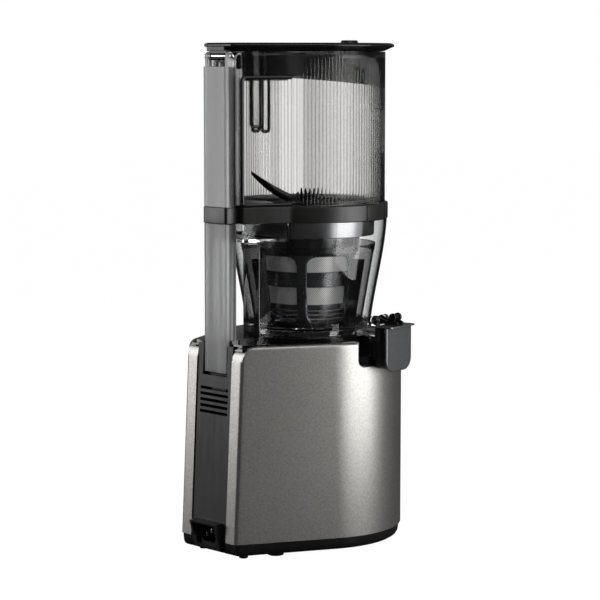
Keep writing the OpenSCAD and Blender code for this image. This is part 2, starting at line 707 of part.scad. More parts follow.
// Spout tube with a domed inner end and its hole up to the floor of the drum
module drum_spout() color([0.85, 0.88, 0.9, 0.35]) at_spout() difference() {
    translate([0, 0, spout_z]) rotate([0, 90, 0]) rotate_extrude($fn = mid)
        polygon([[0, spout_start - 0.8 * spout_r], [0.5 * spout_r, spout_start - 0.8 * spout_r],
            [0.85 * spout_r, spout_start - 0.5 * spout_r], [spout_r, spout_start], [spout_r, spout_reach],
            [0, spout_reach]]);
    translate([spout_start + 6, 0, spout_z]) rotate([0, 90, 0]) cylinder(r = spout_r - 1.8, h = 60,
        $fn = mid);
    translate([spout_start + 8, 0, spout_z]) cylinder(r = spout_r - 2, h = 20, $fn = mid);
}

duct_w = 30;
duct_h = 24;
duct_start = 58;
duct_reach = drum_top_r + 8;
// Square duct that leads the pulp out
module pulp_duct() color([0.85, 0.88, 0.9, 0.35]) difference() {
    at_pulp() difference() {
        translate([duct_start, -duct_w / 2, drum_floor]) cube([duct_reach - duct_start, duct_w, duct_h]);
        translate([duct_start - cut, -duct_w / 2 + drum_wall, drum_floor + drum_floor_t])
            cube([duct_reach, duct_w - 2 * drum_wall, duct_h - drum_wall - drum_floor_t]);
    }
    rotate_extrude($fn = fine) polygon(concat([[0, drum_bottom - cut], [drum_foot_r + 0.02,
        drum_bottom - cut]],
        [for (u = rise) [drum_r_at(u) + 0.02, drum_z_at(u)]], [[0, drum_rim]]));
}

module drum_seal() color("#8d8f93") translate([0, 0, drum_floor + drum_floor_t + 0.02]) difference() {
    cylinder(r = drum_hub_r - 1, h = 3, $fn = mid);
    translate([0, 0, -cut]) cylinder(r = output_shaft_r + 0.6, h = 9, $fn = mid);
}

module drum_column() color([0.9, 0.92, 0.94, 0.4]) difference() {
    translate([0, 0, ledge_z + gap]) linear_extrude(drum_rim - ledge_z - gap) column_outline();
    translate([0, 0, ledge_z + gap + 3]) linear_extrude(drum_rim - ledge_z) column_outline(-column_wall);
    translate([0, rod_y, ledge_z - 5]) cylinder(r = rod_r + gap, h = 20, $fn = low);
}

// ---- strainer ----

window_top = drum_ledge - 18;
window_low = drum_floor + 5.4;
strainer_low = drum_floor + drum_floor_t + 0.02;
function strainer_r_at(z) = strainer_foot_r
    + (strainer_top_r - strainer_foot_r) * (z - strainer_low) / (drum_ledge - strainer_low);

module strainer_frame() color("#151517") difference() {
    rotate_extrude($fn = fine) polygon([
        [strainer_r_at(strainer_low) - strainer_wall, strainer_low], [strainer_r_at(strainer_low)
            + 1.5, strainer_low],
        [strainer_r_at(window_low) + 1.5, window_low - 2], [strainer_r_at(window_low), window_low],
        [strainer_r_at(window_top), window_top], [strainer_r_at(window_top) + 1.5, window_top + 2],
        [strainer_top_r + 1.5, drum_ledge - 2], [strainer_flange_r, drum_ledge], [strainer_flange_r,
            drum_ledge + 2.2],
        [strainer_top_r - strainer_wall, drum_ledge + 2.2], [strainer_top_r - strainer_wall, drum_ledge]]);
    // windows with the two hoops left across them
    for (i = [0:window_count - 1]) rotate([0, 0, window_turn + i * 360 / window_count])
        for (band = window_bands) translate([20, 0, 0]) rotate([90, 0, 90])
            linear_extrude(40) window_shape(band[0], band[1]);
}
strainer_flange_r = strainer_top_r + 4;
// Lowest and highest edge of each row of windows
window_bands = [[window_low + 1, window_low + 13], [window_low + 17.8, window_low + 35.4],
    [window_top - 15.6, window_top - 1]];

module window_shape(z0, z1) {
    w0 = window_half_w(z0);
    w1 = window_half_w(z1);
    polygon([[-w0, z0], [w0, z0], [w1, z1], [-w1, z1]]);
}
function window_half_w(z) = (strainer_r_at(z) * sin(180 / window_count)) - 4;

mesh_gap = 0.2;
mesh_t = 0.45;
module strainer_mesh() color("LightGray") rotate_extrude($fn = fine) polygon([
    [strainer_r_at(window_low - 2) - strainer_wall - mesh_gap - mesh_t, window_low - 2],
    [strainer_r_at(window_low - 2) - strainer_wall - mesh_gap, window_low - 2],
    [strainer_r_at(window_top + 3) - strainer_wall - mesh_gap, window_top + 3],
    [strainer_r_at(window_top + 3) - strainer_wall - mesh_gap - mesh_t, window_top + 3]]);

// ---- wiper cage ----

wiper_low = drum_floor + drum_floor_t + 0.02;
wiper_top = wiper_low + 79;
wiper_wall = 2;
wiper_arm = 20;
function wiper_r_at(z) = wiper_foot_r + (wiper_top_r - wiper_foot_r) * (z - wiper_low)
    / (wiper_top - wiper_low);

// Two rings joined by three wide arms, between the strainer and the drum
module wiper_cage() color("#161618") difference() {
    rotate_extrude($fn = fine) polygon([[wiper_foot_r - wiper_wall, wiper_low], [wiper_foot_r, wiper_low],
        [wiper_top_r, wiper_top], [wiper_top_r - wiper_wall, wiper_top]]);
    for (i = [0:2]) rotate([0, 0, wiper_turn + 60 + i * 120]) translate([0, 0, wiper_low + 5])
        linear_extrude(wiper_top - wiper_low - 13)
            polygon([[0, 0], polar(120, wiper_arm - 60), polar(120, 0), polar(120, 60 - wiper_arm)]);
}

// Silicone strips that stand on the arms and reach towards the strainer
module wiper_blades() color("#9a9ba0") for (i = [0:2]) rotate([0, 0, wiper_turn + i * 120])
    rotate([90, 0, 0]) translate([0, 0, -0.8]) linear_extrude(1.6) polygon([
        [strainer_r_at(window_low + 4) + 1, window_low + 4], [wiper_r_at(window_low + 4)
            - wiper_wall - gap, window_low + 4],
        [wiper_r_at(window_top - 3) - wiper_wall - gap, window_top - 3], [strainer_r_at(window_top - 3)
            + 1, window_top - 3]]);

// ---- auger ----

auger_low = drum_floor + drum_floor_t + 4;
auger_top = ring_bottom + 4;
auger_gap = 1.4;
auger_foot_r = strainer_foot_r - strainer_wall - auger_gap;
auger_head_r = strainer_top_r - strainer_wall - auger_gap;
flight_h = 5;

module auger() color("#1d1d1f") difference() {
    union() {
        // screw body: two flights on a core that widens upwards
        translate([0, 0, auger_low]) linear_extrude(drum_ledge - auger_low, twist = -auger_turn, slices = 36,
            scale = auger_head_r / auger_foot_r) screw_section();
        translate([0, 0, drum_ledge - 0.1]) cylinder(r = auger_head_r, h = 5, $fn = mid);
        translate([0, 0, drum_ledge + 4]) cylinder(r1 = auger_head_r, r2 = auger_head_r + 8, h = 8,
            $fn = mid);
        translate([0, 0, drum_ledge + 12]) cylinder(r = auger_head_r + 8,
            h = auger_top - drum_ledge - 12, $fn = mid);
    }
    // socket for the six-sided shaft end
    translate([0, 0, auger_low - cut]) cylinder(r = hex_r + 0.35,
        h = shaft_top - auger_low + cut + 0.8, $fn = 6);
}

// Cross section of the screw: a round core with two raised flights
module screw_section() polygon([for (a = [0:10:350]) let (wave = pow(max(0, cos(2 * a)), 3))
    polar(auger_foot_r - flight_h * (1 - wave), a)]);

module slicing_wing() color("#2a2a2c") translate([0, 0, auger_top + 0.02]) {
    difference() {
        union() {
            cylinder(r1 = wing_r - 4, r2 = 20, h = 14, $fn = fine);
            translate([0, 0, 13.9]) cylinder(r1 = 20, r2 = 5, h = 11, $fn = mid);
        }
        translate([0, 0, -cut]) cylinder(r1 = wing_r - 7, r2 = 14, h = 12, $fn = fine);
    }
    // the blade rises outwards from the hub
    rotate([0, 0, wing_turn]) wing_blade();
}
wing_turn = 61;

module wing_blade() hull() {
    translate([12, -2, 12]) cube([2, 4, 7]);
    translate([wing_r * 0.55, -9, 12]) cube([2, 5, 12]);
    translate([wing_r - 6, -16, wing_h - 4]) rotate([0, 0, 12]) cube([2, 3, 4]);
}

// ---- juice cap ----

module cap_bracket() color([0.5, 0.52, 0.55, 0.6]) at_spout() difference() {
    union() {
        for (side = [-1, 1]) translate([cap_hinge_x, side * 8.5 + 2.5, cap_hinge_z]) rotate([90, 0, 0]) {
            cylinder(r = 5, h = 5, $fn = mid);
            translate([-5, -11, 0]) cube([10, 11, 5]);
        }
        // saddle on the spout tube
        translate([67, -11, spout_z + 1]) cube([cap_hinge_x - 62, 22, spout_r + 2]);
        translate([66, -8, spout_z + spout_r]) cube([14, 16, 7]);
    }
    translate([cap_hinge_x, 20, cap_hinge_z]) rotate([90, 0, 0]) cylinder(r = cap_pin_r, h = 40, $fn = mid);
    translate([0, 0, spout_z]) rotate([0, 90, 0]) cylinder(r = spout_r + 0.02, h = 120, $fn = mid);
}

module cap_hinge_pin() color("Silver") at_spout() translate([cap_hinge_x, 11, cap_hinge_z]) rotate([90,
    0, 0])
    cylinder(r = cap_pin_r, h = 22, $fn = mid);

// Outline of the cap seen from outside, round at its lower corners
module cap_face(w, h, r) {
    translate([-w / 2, r - h]) square([w, h - r]);
    translate([-w / 2 + r, -h]) square([w - 2 * r, h]);
    for (side = [-1, 1]) translate([side * (w / 2 - r), r - h]) circle(r, $fn = mid);
}

module juice_cap_cup() color("#3a3b40") at_spout() difference() {
    translate([cap_x, 0, cap_top]) rotate([90, 0, 90]) linear_extrude(cap_depth) cap_face(cap_w,
        cap_h - 2, 11);
    translate([cap_x + 3, 0, cap_top - 3]) rotate([90, 0, 90]) linear_extrude(cap_depth)
        cap_face(cap_w - 4, cap_h - 6, 9);
    translate([cap_x - cut, 0, spout_z]) rotate([0, 90, 0]) cylinder(r = spout_r - 1, h = 9, $fn = mid);
}

module juice_cap_plate() color("#6d6f74") at_spout() {
    translate([cap_x + cap_depth + 0.02, 0, cap_top + 1]) rotate([90, 0, 90]) linear_extrude(plate_t)
        cap_face(cap_w + 1, cap_h + 1, 12);
    translate([cap_x, -cap_w / 2 - 0.5, cap_top + 0.02]) cube([cap_depth + plate_t + 5, cap_w + 1, 1.6]);
}

module juice_cap_seal() color("#55565a") at_spout() translate([cap_x - 0.7, 0, spout_z]) rotate([0, 90, 0])
    difference() {
        cylinder(r = spout_r, h = 0.68, $fn = mid);
        translate([0, 0, -cut]) cylinder(r = spout_r - 1, h = 9, $fn = mid);
    }

module cap_lever() color("#1b1b1d") at_spout() {
    difference() {
        union() {
            translate([cap_hinge_x, 5.7, cap_hinge_z]) rotate([90, 0, 0]) cylinder(r = 4.6, h = 11.4,
                $fn = mid);
            translate([cap_hinge_x, -5.7, cap_hinge_z - 2.5]) cube([26, 11.4, 4.5]);
            translate([cap_hinge_x + 19, 5.7, cap_hinge_z + 4.2]) rotate([90, 0, 0]) cylinder(r = 4,
                h = 11.4, $fn = mid);
            translate([cap_hinge_x + 10, -5.7, cap_top + 1.64]) cube([14, 11.4, 3]);
        }
        translate([cap_hinge_x, 20, cap_hinge_z]) rotate([90, 0, 0]) cylinder(r = cap_pin_r + run,
            h = 40, $fn = mid);
    }
}

plug_depth = 10.3;
module pulp_plug() color("#2e2e30") at_pulp() {
    translate([duct_reach + gap, -duct_w / 2 - 1, drum_floor - 0.5]) cube([4, duct_w + 2, duct_h + 1]);
    translate([duct_reach + gap - plug_depth, -duct_w / 2 + drum_wall + gap,
        drum_floor + drum_floor_t + gap])
        cube([plug_depth + 1, duct_w - 2 * (drum_wall + gap), duct_h - drum_wall - drum_floor_t - 2 * gap]);
}

// ---- interlock rods ----

module lower_rod() color("Silver") translate([0, rod_y, ledge_z - 5]) {
    cylinder(r = rod_r, h = rod_split_z - ledge_z + 5, $fn = low);
    translate([0, 0, 40]) cylinder(r = 2.7, h = 2, $fn = low);
}

spring_low = ledge_z + gap + 3 + 0.1;
spring_turns = 9;
spring_wire = 0.4;
module rod_spring() color("Silver") for (i = [0:spring_turns - 1])
    translate([0, rod_y, spring_low + 1 + i * (ledge_z + 35 - spring_low - 2) / (spring_turns - 1)])
        rotate_extrude($fn = low) translate([2.2, 0]) circle(spring_wire, $fn = 16);

module upper_rod() color("Silver") translate([0, rod_y, rod_split_z + gap])
    cylinder(r = rod_r, h = hinge_z - presser_drop - gap - rod_split_z - gap, $fn = low);

// ---- hopper ----

spigot_slack = 0.9;

module hopper_ring() color("#1e1e20") difference() {
    union() {
        translate([0, 0, ring_bottom]) linear_extrude(ring_h) {
            pot_outline(ring_r);
            column_outline(0.6);
        }
        // spigot that centres the hopper in the drum
        translate([0, 0, ring_bottom - 6]) difference() {
            cylinder(r = drum_top_r - drum_wall - spigot_slack, h = 7, $fn = fine);
            translate([-60, 40, -cut]) cube([120, 60, 9]);
        }
    }
    translate([0, 0, ring_bottom - 10]) cylinder(r = opening_r, h = 60, $fn = fine);
    translate([0, rod_y, ring_bottom - 10]) cylinder(r = rod_r + gap, h = 60, $fn = low);
}

module hopper_floor() color([0.6, 0.62, 0.65, 0.6]) translate([0, 0, ring_top + 0.02]) difference() {
    linear_extrude(floor_t) pot_outline(hopper_r, -hopper_wall - 0.02);
    translate([0, 0, -cut]) cylinder(r = opening_r, h = 9, $fn = fine);
}

// Outer plan of the hopper: ridges and valleys round the pot
module fluted_outline() {
    polygon([for (i = [0:2 * flute_count - 1]) polar(hopper_r - flute_depth * (i % 2),
        i * 180 / flute_count)]);
    difference() {
        pot_outline(hopper_r);
        circle(hopper_r - 1, $fn = fine);
        translate([-100, -100]) square([200, 100 + hopper_r * cos(neck_turn)]);
    }
}

module hopper_shell() color([0.5, 0.52, 0.54, 0.45]) {
    difference() {
        translate([0, 0, ring_top + 0.02]) linear_extrude(hopper_rim - ring_top - 5) fluted_outline();
        translate([0, 0, ring_top - cut]) linear_extrude(hopper_rim) pot_outline(hopper_r, -hopper_wall);
    }
    // smooth band at the rim
    translate([0, 0, hopper_rim - 5]) linear_extrude(5) difference() {
        pot_outline(hopper_r, 0.4);
        pot_outline(hopper_r, -hopper_wall);
        translate([-60, neck_y - 0.01]) square([120, 40]);
    }
}

module hopper_column() color([0.45, 0.47, 0.5, 0.6]) difference() {
    union() {
        translate([0, 0, ring_top + 0.02]) linear_extrude(column_top - ring_top) difference() {
            column_outline();
            translate([-60, neck_y - 20]) square([120, 20.02]);
        }
        for (side = [-1, 1]) translate([side * (column_half_w - 2) - 2, hinge_y, hinge_z]) rotate([0,
            90, 0]) {
            cylinder(r = barrel_r, h = 4, $fn = mid);
            translate([0, -barrel_r, 0]) cube([hinge_z - column_top + 1, 2 * barrel_r, 4]);
        }
    }
    translate([0, 0, ring_top - cut]) linear_extrude(column_top - ring_top - 1.5)
        column_outline(-column_wall);
    translate([-30, hinge_y, hinge_z]) rotate([0, 90, 0]) cylinder(r = pin_r, h = 60, $fn = mid);
    translate([0, rod_y, column_top - 10]) cylinder(r = rod_r + gap, h = 30, $fn = low);
}
column_top = hinge_z - 10;

module lid_hinge_pin() color("Silver") translate([0, hinge_y, hinge_z]) rotate([0, 90, 0]) {
    translate([0, 0, -column_half_w - 1]) cylinder(r = pin_r, h = 2 * column_half_w + 2, $fn = mid);
    for (side = [-1, 1]) translate([0, 0, side * (column_half_w + 1.9)]) sphere(r = 2.6, $fn = mid);
}

// ---- lid ----

module lid() color("#1a1a1b") {
    difference() {
        union() {
            translate([0, 0, lid_z]) linear_extrude(lid_t) pear(hopper_r - 2, 4, 15, hinge_y - 4);
            translate([0, 0, lid_z + lid_t - 4.5]) linear_extrude(4.5) pear(lid_r, 4, 18, hinge_y - 2);
            translate([0, 0, lid_z]) cylinder(r1 = hopper_r - 2, r2 = lid_r - 3, h = lid_t - 4.5,
                $fn = fine);
            translate([-lid_barrel_w / 2, hinge_y, hinge_z]) rotate([0, 90, 0]) cylinder(r = barrel_r,
                h = lid_barrel_w, $fn = mid);
            translate([-lid_barrel_w / 2, hinge_y - barrel_r, hinge_z]) cube([lid_barrel_w,
                barrel_r + 2, 6]);
            translate([-3, rod_y - 1, hinge_z - presser_drop]) cube([6, 2, presser_drop]);
        }
        translate([-30, hinge_y, hinge_z]) rotate([0, 90, 0]) cylinder(r = pin_r + run, h = 60, $fn = mid);
    }
}
lid_barrel_w = 2 * (column_half_w - 4) - 2 * gap;

skirt_r = hopper_r - hopper_wall - 2.6;
module lid_skirt() color("#232325") difference() {
    translate([0, 0, lid_z - 30]) cylinder(r = skirt_r, h = 30 - 0.02, $fn = fine);
    translate([0, 0, lid_z - 40]) cylinder(r = skirt_r - plastic_wall, h = 60, $fn = fine);
    // the lower edge climbs towards the rear
    translate([-100, -skirt_r, lid_z - 29]) rotate([6, 0, 0]) translate([0, -50, -60]) cube([200, 300, 60]);
    // gap for the guard
    translate([-guard_w / 2 - gap, guard_y - gap, lid_z - 50]) cube([guard_w + 2 * gap, 40, 60]);
}

guard_w = 17.4;
guard_d = 13.8;
guard_y = 57.9;
guard_h = 78.5;
module lid_guard() color("#3c3d40") translate([-guard_w / 2, guard_y, lid_z - guard_h]) difference() {
    cube([guard_w, guard_d, guard_h - 0.02]);
    translate([plastic_wall, -cut, -cut]) cube([guard_w - 2 * plastic_wall,
        guard_d - plastic_wall + cut, guard_h - 14]);
}

module lid_nub() color("#1a1a1b") translate([0, -57, lid_z + lid_t + 0.02]) cylinder(r1 = 9, r2 = 8,
    h = 3, $fn = mid);

// ---- all pieces ----

base_cover();
top_deck();
rear_panel();
bottom_pan();
rubber_feet();
inlet_socket();
inlet_pins();
stator_core();
stator_winding();
motor_end_bells();
motor_bearings();
rotor_core();
motor_shaft();
cooling_fan();
gearbox_housing();
gearbox_cover();
gearbox_bushes();
idler_gear();
idler_shaft();
output_gear();
output_shaft();
control_board();
dial_switch();
control_dial();
interlock_switch();
motor_posts();
gearbox_screws();
drum();
drum_neck();
drum_spout();
pulp_duct();
drum_column();
drum_seal();
strainer_frame();
strainer_mesh();
wiper_cage();
wiper_blades();
auger();
slicing_wing();
cap_bracket();
cap_hinge_pin();
juice_cap_cup();
juice_cap_plate();
juice_cap_seal();
cap_lever();
pulp_plug();
lower_rod();
rod_spring();
hopper_shell();
hopper_floor();
hopper_ring();
hopper_column();
lid_hinge_pin();
upper_rod();
lid();
lid_skirt();
lid_guard();
lid_nub();
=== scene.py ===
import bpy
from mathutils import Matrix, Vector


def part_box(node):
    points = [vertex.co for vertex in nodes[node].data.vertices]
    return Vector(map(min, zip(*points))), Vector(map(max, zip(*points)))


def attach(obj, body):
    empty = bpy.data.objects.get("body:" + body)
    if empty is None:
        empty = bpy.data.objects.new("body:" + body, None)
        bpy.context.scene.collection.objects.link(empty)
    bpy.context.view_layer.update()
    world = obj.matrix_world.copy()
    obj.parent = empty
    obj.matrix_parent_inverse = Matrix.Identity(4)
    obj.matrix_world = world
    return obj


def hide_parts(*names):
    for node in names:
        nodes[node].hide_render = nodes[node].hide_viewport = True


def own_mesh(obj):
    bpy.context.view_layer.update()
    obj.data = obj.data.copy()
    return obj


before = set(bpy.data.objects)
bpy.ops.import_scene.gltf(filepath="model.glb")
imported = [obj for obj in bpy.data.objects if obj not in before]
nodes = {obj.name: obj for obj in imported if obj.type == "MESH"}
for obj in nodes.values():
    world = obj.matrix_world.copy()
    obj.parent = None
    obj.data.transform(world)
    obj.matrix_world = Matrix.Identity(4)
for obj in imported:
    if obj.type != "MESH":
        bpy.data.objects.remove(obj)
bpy.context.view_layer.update()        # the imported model: bodies, nodes, joints and record

import math
import bmesh
import bpy
import numpy as np
from mathutils import Vector

mm = 0.001
scene = bpy.context.scene
print("frame loaded:", len(nodes), "nodes")

straight = 1.565        # half the angle of a corner that is too flat to round
sameSpot = 4e-6        # points nearer than this are one, in metres
mirror = np.array([-1.0, 1.0])        # turns a plane over its y axis
aside = (0.13, 0.21, 0.97)        # a direction that no tube runs along


def unit(vectors):
    return vectors / (np.linalg.norm(vectors, axis=-1, keepdims=True) + 1e-12)


# Points at a radius and a turn in radians: x = r cos a, y = r sin a, with a height where it's given
def polar(radius, turn, *height):
    return np.stack(np.broadcast_arrays(radius * np.cos(turn), radius * np.sin(turn), *height), -1)


# Points of an arc, from angle a0 to a1 in degrees
def arc(centre, radius, a0, a1, count):
    return polar(radius, np.radians(np.linspace(a0, a1, count))) + np.array(centre)


# A line through corners (x, y, radius). The arc of a corner touches both its sides
def roundLine(*points, steps=6, closed=False):
    spots = [np.array(p[:2], float) for p in points]
    out = []
    for i, corner in enumerate(spots):
        out.append(corner[None])
        radius = points[i][2] if len(points[i]) > 2 else 0
        if radius <= 0:
            continue
        a, b = unit(spots[i - 1] - corner), unit(spots[(i + 1) % len(spots)] - corner)
        half = math.acos(max(-1, min(1, a @ b))) / 2
        if half > straight:
            continue
        centre = corner + unit(a + b) * radius / math.sin(half)
        start, end = (math.atan2(*(corner + side * radius / math.tan(half) - centre)[::-1])
                      for side in (a, b))
        sweep = (end - start + math.pi) % (2 * math.pi) - math.pi
        out[-1] = arc(centre, radius, math.degrees(start), math.degrees(start + sweep), steps + 1)
    return np.concatenate(out + [out[0][:1]] if closed else out)


def roundRing(*points, steps=6):
    return roundLine(*points, steps=steps, closed=True)


# More points on a line, so that no step is longer than the given one
def refine(line, step):
    line = np.asarray(line, float)
    parts = [np.linspace(a, b, max(2, int(np.linalg.norm(b - a) / step) + 2))[:-1]
             for a, b in zip(line[:-1], line[1:])]
    return np.concatenate(parts + [line[-1:]])


# Turn, in degrees, of the tangent that joins a circle at the middle with a small one at x, y
def tangentTurn(x, y, gap):
    return math.degrees(math.atan2(y, x) - math.acos(gap / math.hypot(x, y)))


# Adds one coordinate to the points of a plane, the same for all of them
def lift(shape, place, axis=2):
    return np.insert(shape, axis, place, axis=1)


def extrude(shape, places, axis=2):
    return np.stack([lift(shape, place, axis) for place in places])


# The first and last ring of each grid, to close it with
def ends(*grids):
    return [ring for grid in grids for ring in (grid[0][::-1], grid[-1])]


# A profile of radius and height turned round the z axis
def revolve(profile, columns=96, a0=0.0, a1=360.0):
    profile = np.asarray(profile, float)
    return polar(profile[:, :1], np.radians(np.linspace(a0, a1, columns + 1)), profile[:, 1:])


# A profile of offset and height carried round a closed outline that runs counterclockwise: each
# point moves along the tangent turned by a quarter, further at a corner, so a wall keeps its width
def carry(outline, profile):
    profile = np.asarray(profile, float)
    ring = outline[:-1]
    ahead, behind = unit(np.roll(ring, -1, 0) - ring), unit(ring - np.roll(ring, 1, 0))
    tangent = unit(ahead + behind)
    stretch = 1 / np.clip((tangent * ahead).sum(1), 0.5, 1)
    normal = np.stack([tangent[:, 1], -tangent[:, 0]], -1) * stretch[:, None]
    normal = np.concatenate([normal, normal[:1]])
    grid = np.empty((len(profile), len(outline), 3))
    grid[..., :2] = outline[None] + normal[None] * profile[:, :1, None]
    grid[..., 2] = profile[:, 1:]
    return grid


# A round section carried along a path, closed to a point at each end:
# place + radius (side cos a + over sin a), where side and over are square to the path
def tube(path, radius, around=16):
    tangent = unit(np.gradient(path, axis=0))
    side = unit(np.cross(tangent, aside))
    over = np.cross(side, tangent)
    turn = np.linspace(0, 2 * np.pi, around + 1)[None, :, None]
    grid = path[:, None] + radius * (np.cos(turn) * side[:, None] + np.sin(turn) * over[:, None])
    return np.concatenate([np.repeat(path[:1, None], around + 1, 1), grid,
                           np.repeat(path[-1:, None], around + 1, 1)])


# Turns points about the z axis, in degrees
def turned(grid, angle):
    c, s = math.cos(math.radians(angle)), math.sin(math.radians(angle))
    x, y = grid[..., 0], grid[..., 1]
    return np.stack([x * c - y * s, x * s + y * c, grid[..., 2]], -1)


# Swaps the axes of points and moves them: order names which old axis becomes x, y and z
def placed(grid, order=(0, 1, 2), flip=(1, 1, 1), move=(0, 0, 0)):
    return np.asarray(grid)[..., list(order)] * np.array(flip, float) + np.array(move, float)


# Merges doubles, so seams and poles close. Then faces are turned outwards, or flat ones joined
def cleanMesh(mesh, outwards=False, joinFlat=False):
    work = bmesh.new()
    work.from_mesh(mesh)
    bmesh.ops.remove_doubles(work, verts=work.verts, dist=sameSpot)
    if outwards:
        bmesh.ops.recalc_face_normals(work, faces=work.faces)
    if joinFlat:
        bmesh.ops.dissolve_limit(work, angle_limit=math.radians(0.6), verts=work.verts,
                                 edges=work.edges)
    loose = [v for v in work.verts if not v.link_faces]
    bmesh.ops.delete(work, geom=loose, context="VERTS")
    work.to_mesh(mesh)
    work.free()


# The four corners of each cell of a grid
def gridQuads(rows, columns):
    index = np.arange(rows * columns).reshape(rows, columns)
    return np.stack([index[:-1, :-1], index[:-1, 1:], index[1:, 1:], index[1:, :-1]], -1)


# Lengths along one axis of a grid, the mean of its lines
def gridLengths(grid, axis):
    steps = np.linalg.norm(np.diff(grid, axis=axis), axis=2).mean(1 - axis)
    return np.append(0, np.cumsum(steps))


# A piece from grids of points in millimetres. Quads join neighbours of a grid, and the map's
# u and v are the lengths along its columns and rows. Each cap is one face on a ring of points
def makePiece(name, grids, look, body, caps=(), openSheet=False, flute=None, **finish):
    points, corners, starts, flow = [], [], [], []
    base = total = 0
    for grid in grids:
        quads = gridQuads(*grid.shape[:2]).reshape(-1)
        lengths = np.meshgrid(gridLengths(grid, 1), gridLengths(grid, 0))
        flow.append(np.stack(lengths, -1).reshape(-1, 2)[quads])
        points.append(grid.reshape(-1, 3))
        corners.append(quads + base)
        starts.append(total + 4 * np.arange(len(quads) // 4))
        base += grid.size // 3
        total += len(quads)
    for ring in caps:
        if np.allclose(ring[0], ring[-1]):        # a closed ring repeats its first point
            ring = ring[:-1]
        points.append(ring)
        flow.append(ring[:, :2])
        corners.append(base + np.arange(len(ring)))
        starts.append([total])
        base += len(ring)
        total += len(ring)
    mesh = bpy.data.meshes.new(name)
    mesh.vertices.add(base)
    mesh.vertices.foreach_set("co", (np.concatenate(points) * mm).ravel())
    mesh.loops.add(total)
    mesh.loops.foreach_set("vertex_index", np.concatenate(corners).astype(np.int32))
    starts = np.concatenate(starts).astype(np.int32)
    mesh.polygons.add(len(starts))
    mesh.polygons.foreach_set("loop_start", starts)
    mesh.update(calc_edges=True)
    layer = mesh.uv_layers.new(name="surfaceMap")
    layer.data.foreach_set("uv", (np.concatenate(flow) * mm).ravel())
    # painted shade per point, kept as an attribute that the clear looks darken their tint by
    if flute is not None:
        shade = np.zeros(base, np.float32)
        shade[:flute.size] = flute.ravel()
        mesh.attributes.new("flute", "FLOAT", "POINT").data.foreach_set("value", shade)
    cleanMesh(mesh, outwards=not openSheet)
    return finishPiece(name, mesh, look, body, **finish)


# Puts a mesh in the scene as a piece: smooth faces, a wall and small edge bevels where asked
def finishPiece(name, mesh, look, body, stands=None, slot=None, angle=38, wall=0.0, bevel=0.0,
                bevelSteps=2):
    mesh.polygons.foreach_set("use_smooth", np.ones(len(mesh.polygons), bool))
    mesh.set_sharp_from_angle(angle=math.radians(angle))
    mesh.materials.clear()
    mesh.materials.append(looks[look])
    piece = bpy.data.objects.new(name, mesh)
    scene.collection.objects.link(piece)
    if wall:
        thick = piece.modifiers.new("wall", "SOLIDIFY")
        thick.thickness, thick.offset, thick.use_even_offset = wall * mm, -1, True
    if bevel:
        edge = piece.modifiers.new("edges", "BEVEL")
        edge.width, edge.segments, edge.limit_method = bevel * mm, bevelSteps, "ANGLE"
        edge.angle_limit, edge.harden_normals = math.radians(angle), True
    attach(piece, body)
    if stands:
        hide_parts(stands)
    return piece


# A copy of a node's own solid with merged corners, flat faces joined and small edge bevels
def dressNode(node, name, look, body, bevel=0.3, angle=32, **finish):
    mesh = nodes[node].data.copy()
    cleanMesh(mesh, joinFlat=True)
    mesh.name = name
    return finishPiece(name, mesh, look, body, stands=node, bevel=bevel, angle=angle, **finish)


# Gives an input its plain value, or links the output that feeds it
def feed(tree, socket, value):
    if isinstance(value, bpy.types.NodeSocket):
        tree.links.new(value, socket)
    else:
        socket.default_value = value


# Adds a node with its settings. Its inputs are given by place, then by name
def addNode(tree, kind, *values, setup=(), **named):
    made = tree.nodes.new("ShaderNode" + kind)
    for key, value in dict(setup).items():
        setattr(made, key, value)
    for socket, value in zip(made.inputs, values):
        feed(tree, socket, value)
    for key, value in named.items():
        feed(tree, made.inputs[key], value)
    return made


def calc(tree, operation, *values, clamp=False):
    setup = {"operation": operation, "use_clamp": clamp}
    return addNode(tree, "Math", *values, setup=setup).outputs[0]


# Spreads a value from one range to another
def spread(tree, value, low, high, outLow=0.0, outHigh=1.0):
    return addNode(tree, "MapRange", value, low, high, outLow, outHigh).outputs[0]


def noise(tree, vector, scale, detail, **named):
    made = addNode(tree, "TexNoise", Vector=vector, Scale=scale, Detail=detail, **named)
    return made.outputs["Fac"]


# A new shader node group that takes a vector and the named values
def newGroup(name, **inputs):
    group = bpy.data.node_groups.new(name, "ShaderNodeTree")
    face = group.interface
    face.new_socket(name="Vector", in_out="INPUT", socket_type="NodeSocketVector")
    for key, value in inputs.items():
        kind = "NodeSocketVector" if isinstance(value, tuple) else "NodeSocketFloat"
        face.new_socket(name=key, in_out="INPUT", socket_type=kind).default_value = value
    return group, group.nodes.new("NodeGroupInput").outputs


def closeGroup(group, **results):
    for key in results:
        group.interface.new_socket(name=key, in_out="OUTPUT", socket_type="NodeSocketFloat")
    out = group.nodes.new("NodeGroupOutput")
    for key, value in results.items():
        feed(group, out.inputs[key], value)
    return group


# Fine moulded grain: two layers of noise give the height, and a slow third one the tone
def makeGrain():
    group, given = newGroup("mouldedGrain", Scale=2400.0, Mix=0.35)
    vector, scale = given["Vector"], given["Scale"]
    wide = addNode(group, "TexVoronoi", Vector=vector, Scale=calc(group, "MULTIPLY", scale, 0.42))
    cells = calc(group, "MULTIPLY", wide.outputs["Distance"], given["Mix"])
    return closeGroup(group, Height=calc(group, "ADD", noise(group, vector, scale, 3), cells),
                      Tone=noise(group, vector, 38, 4))


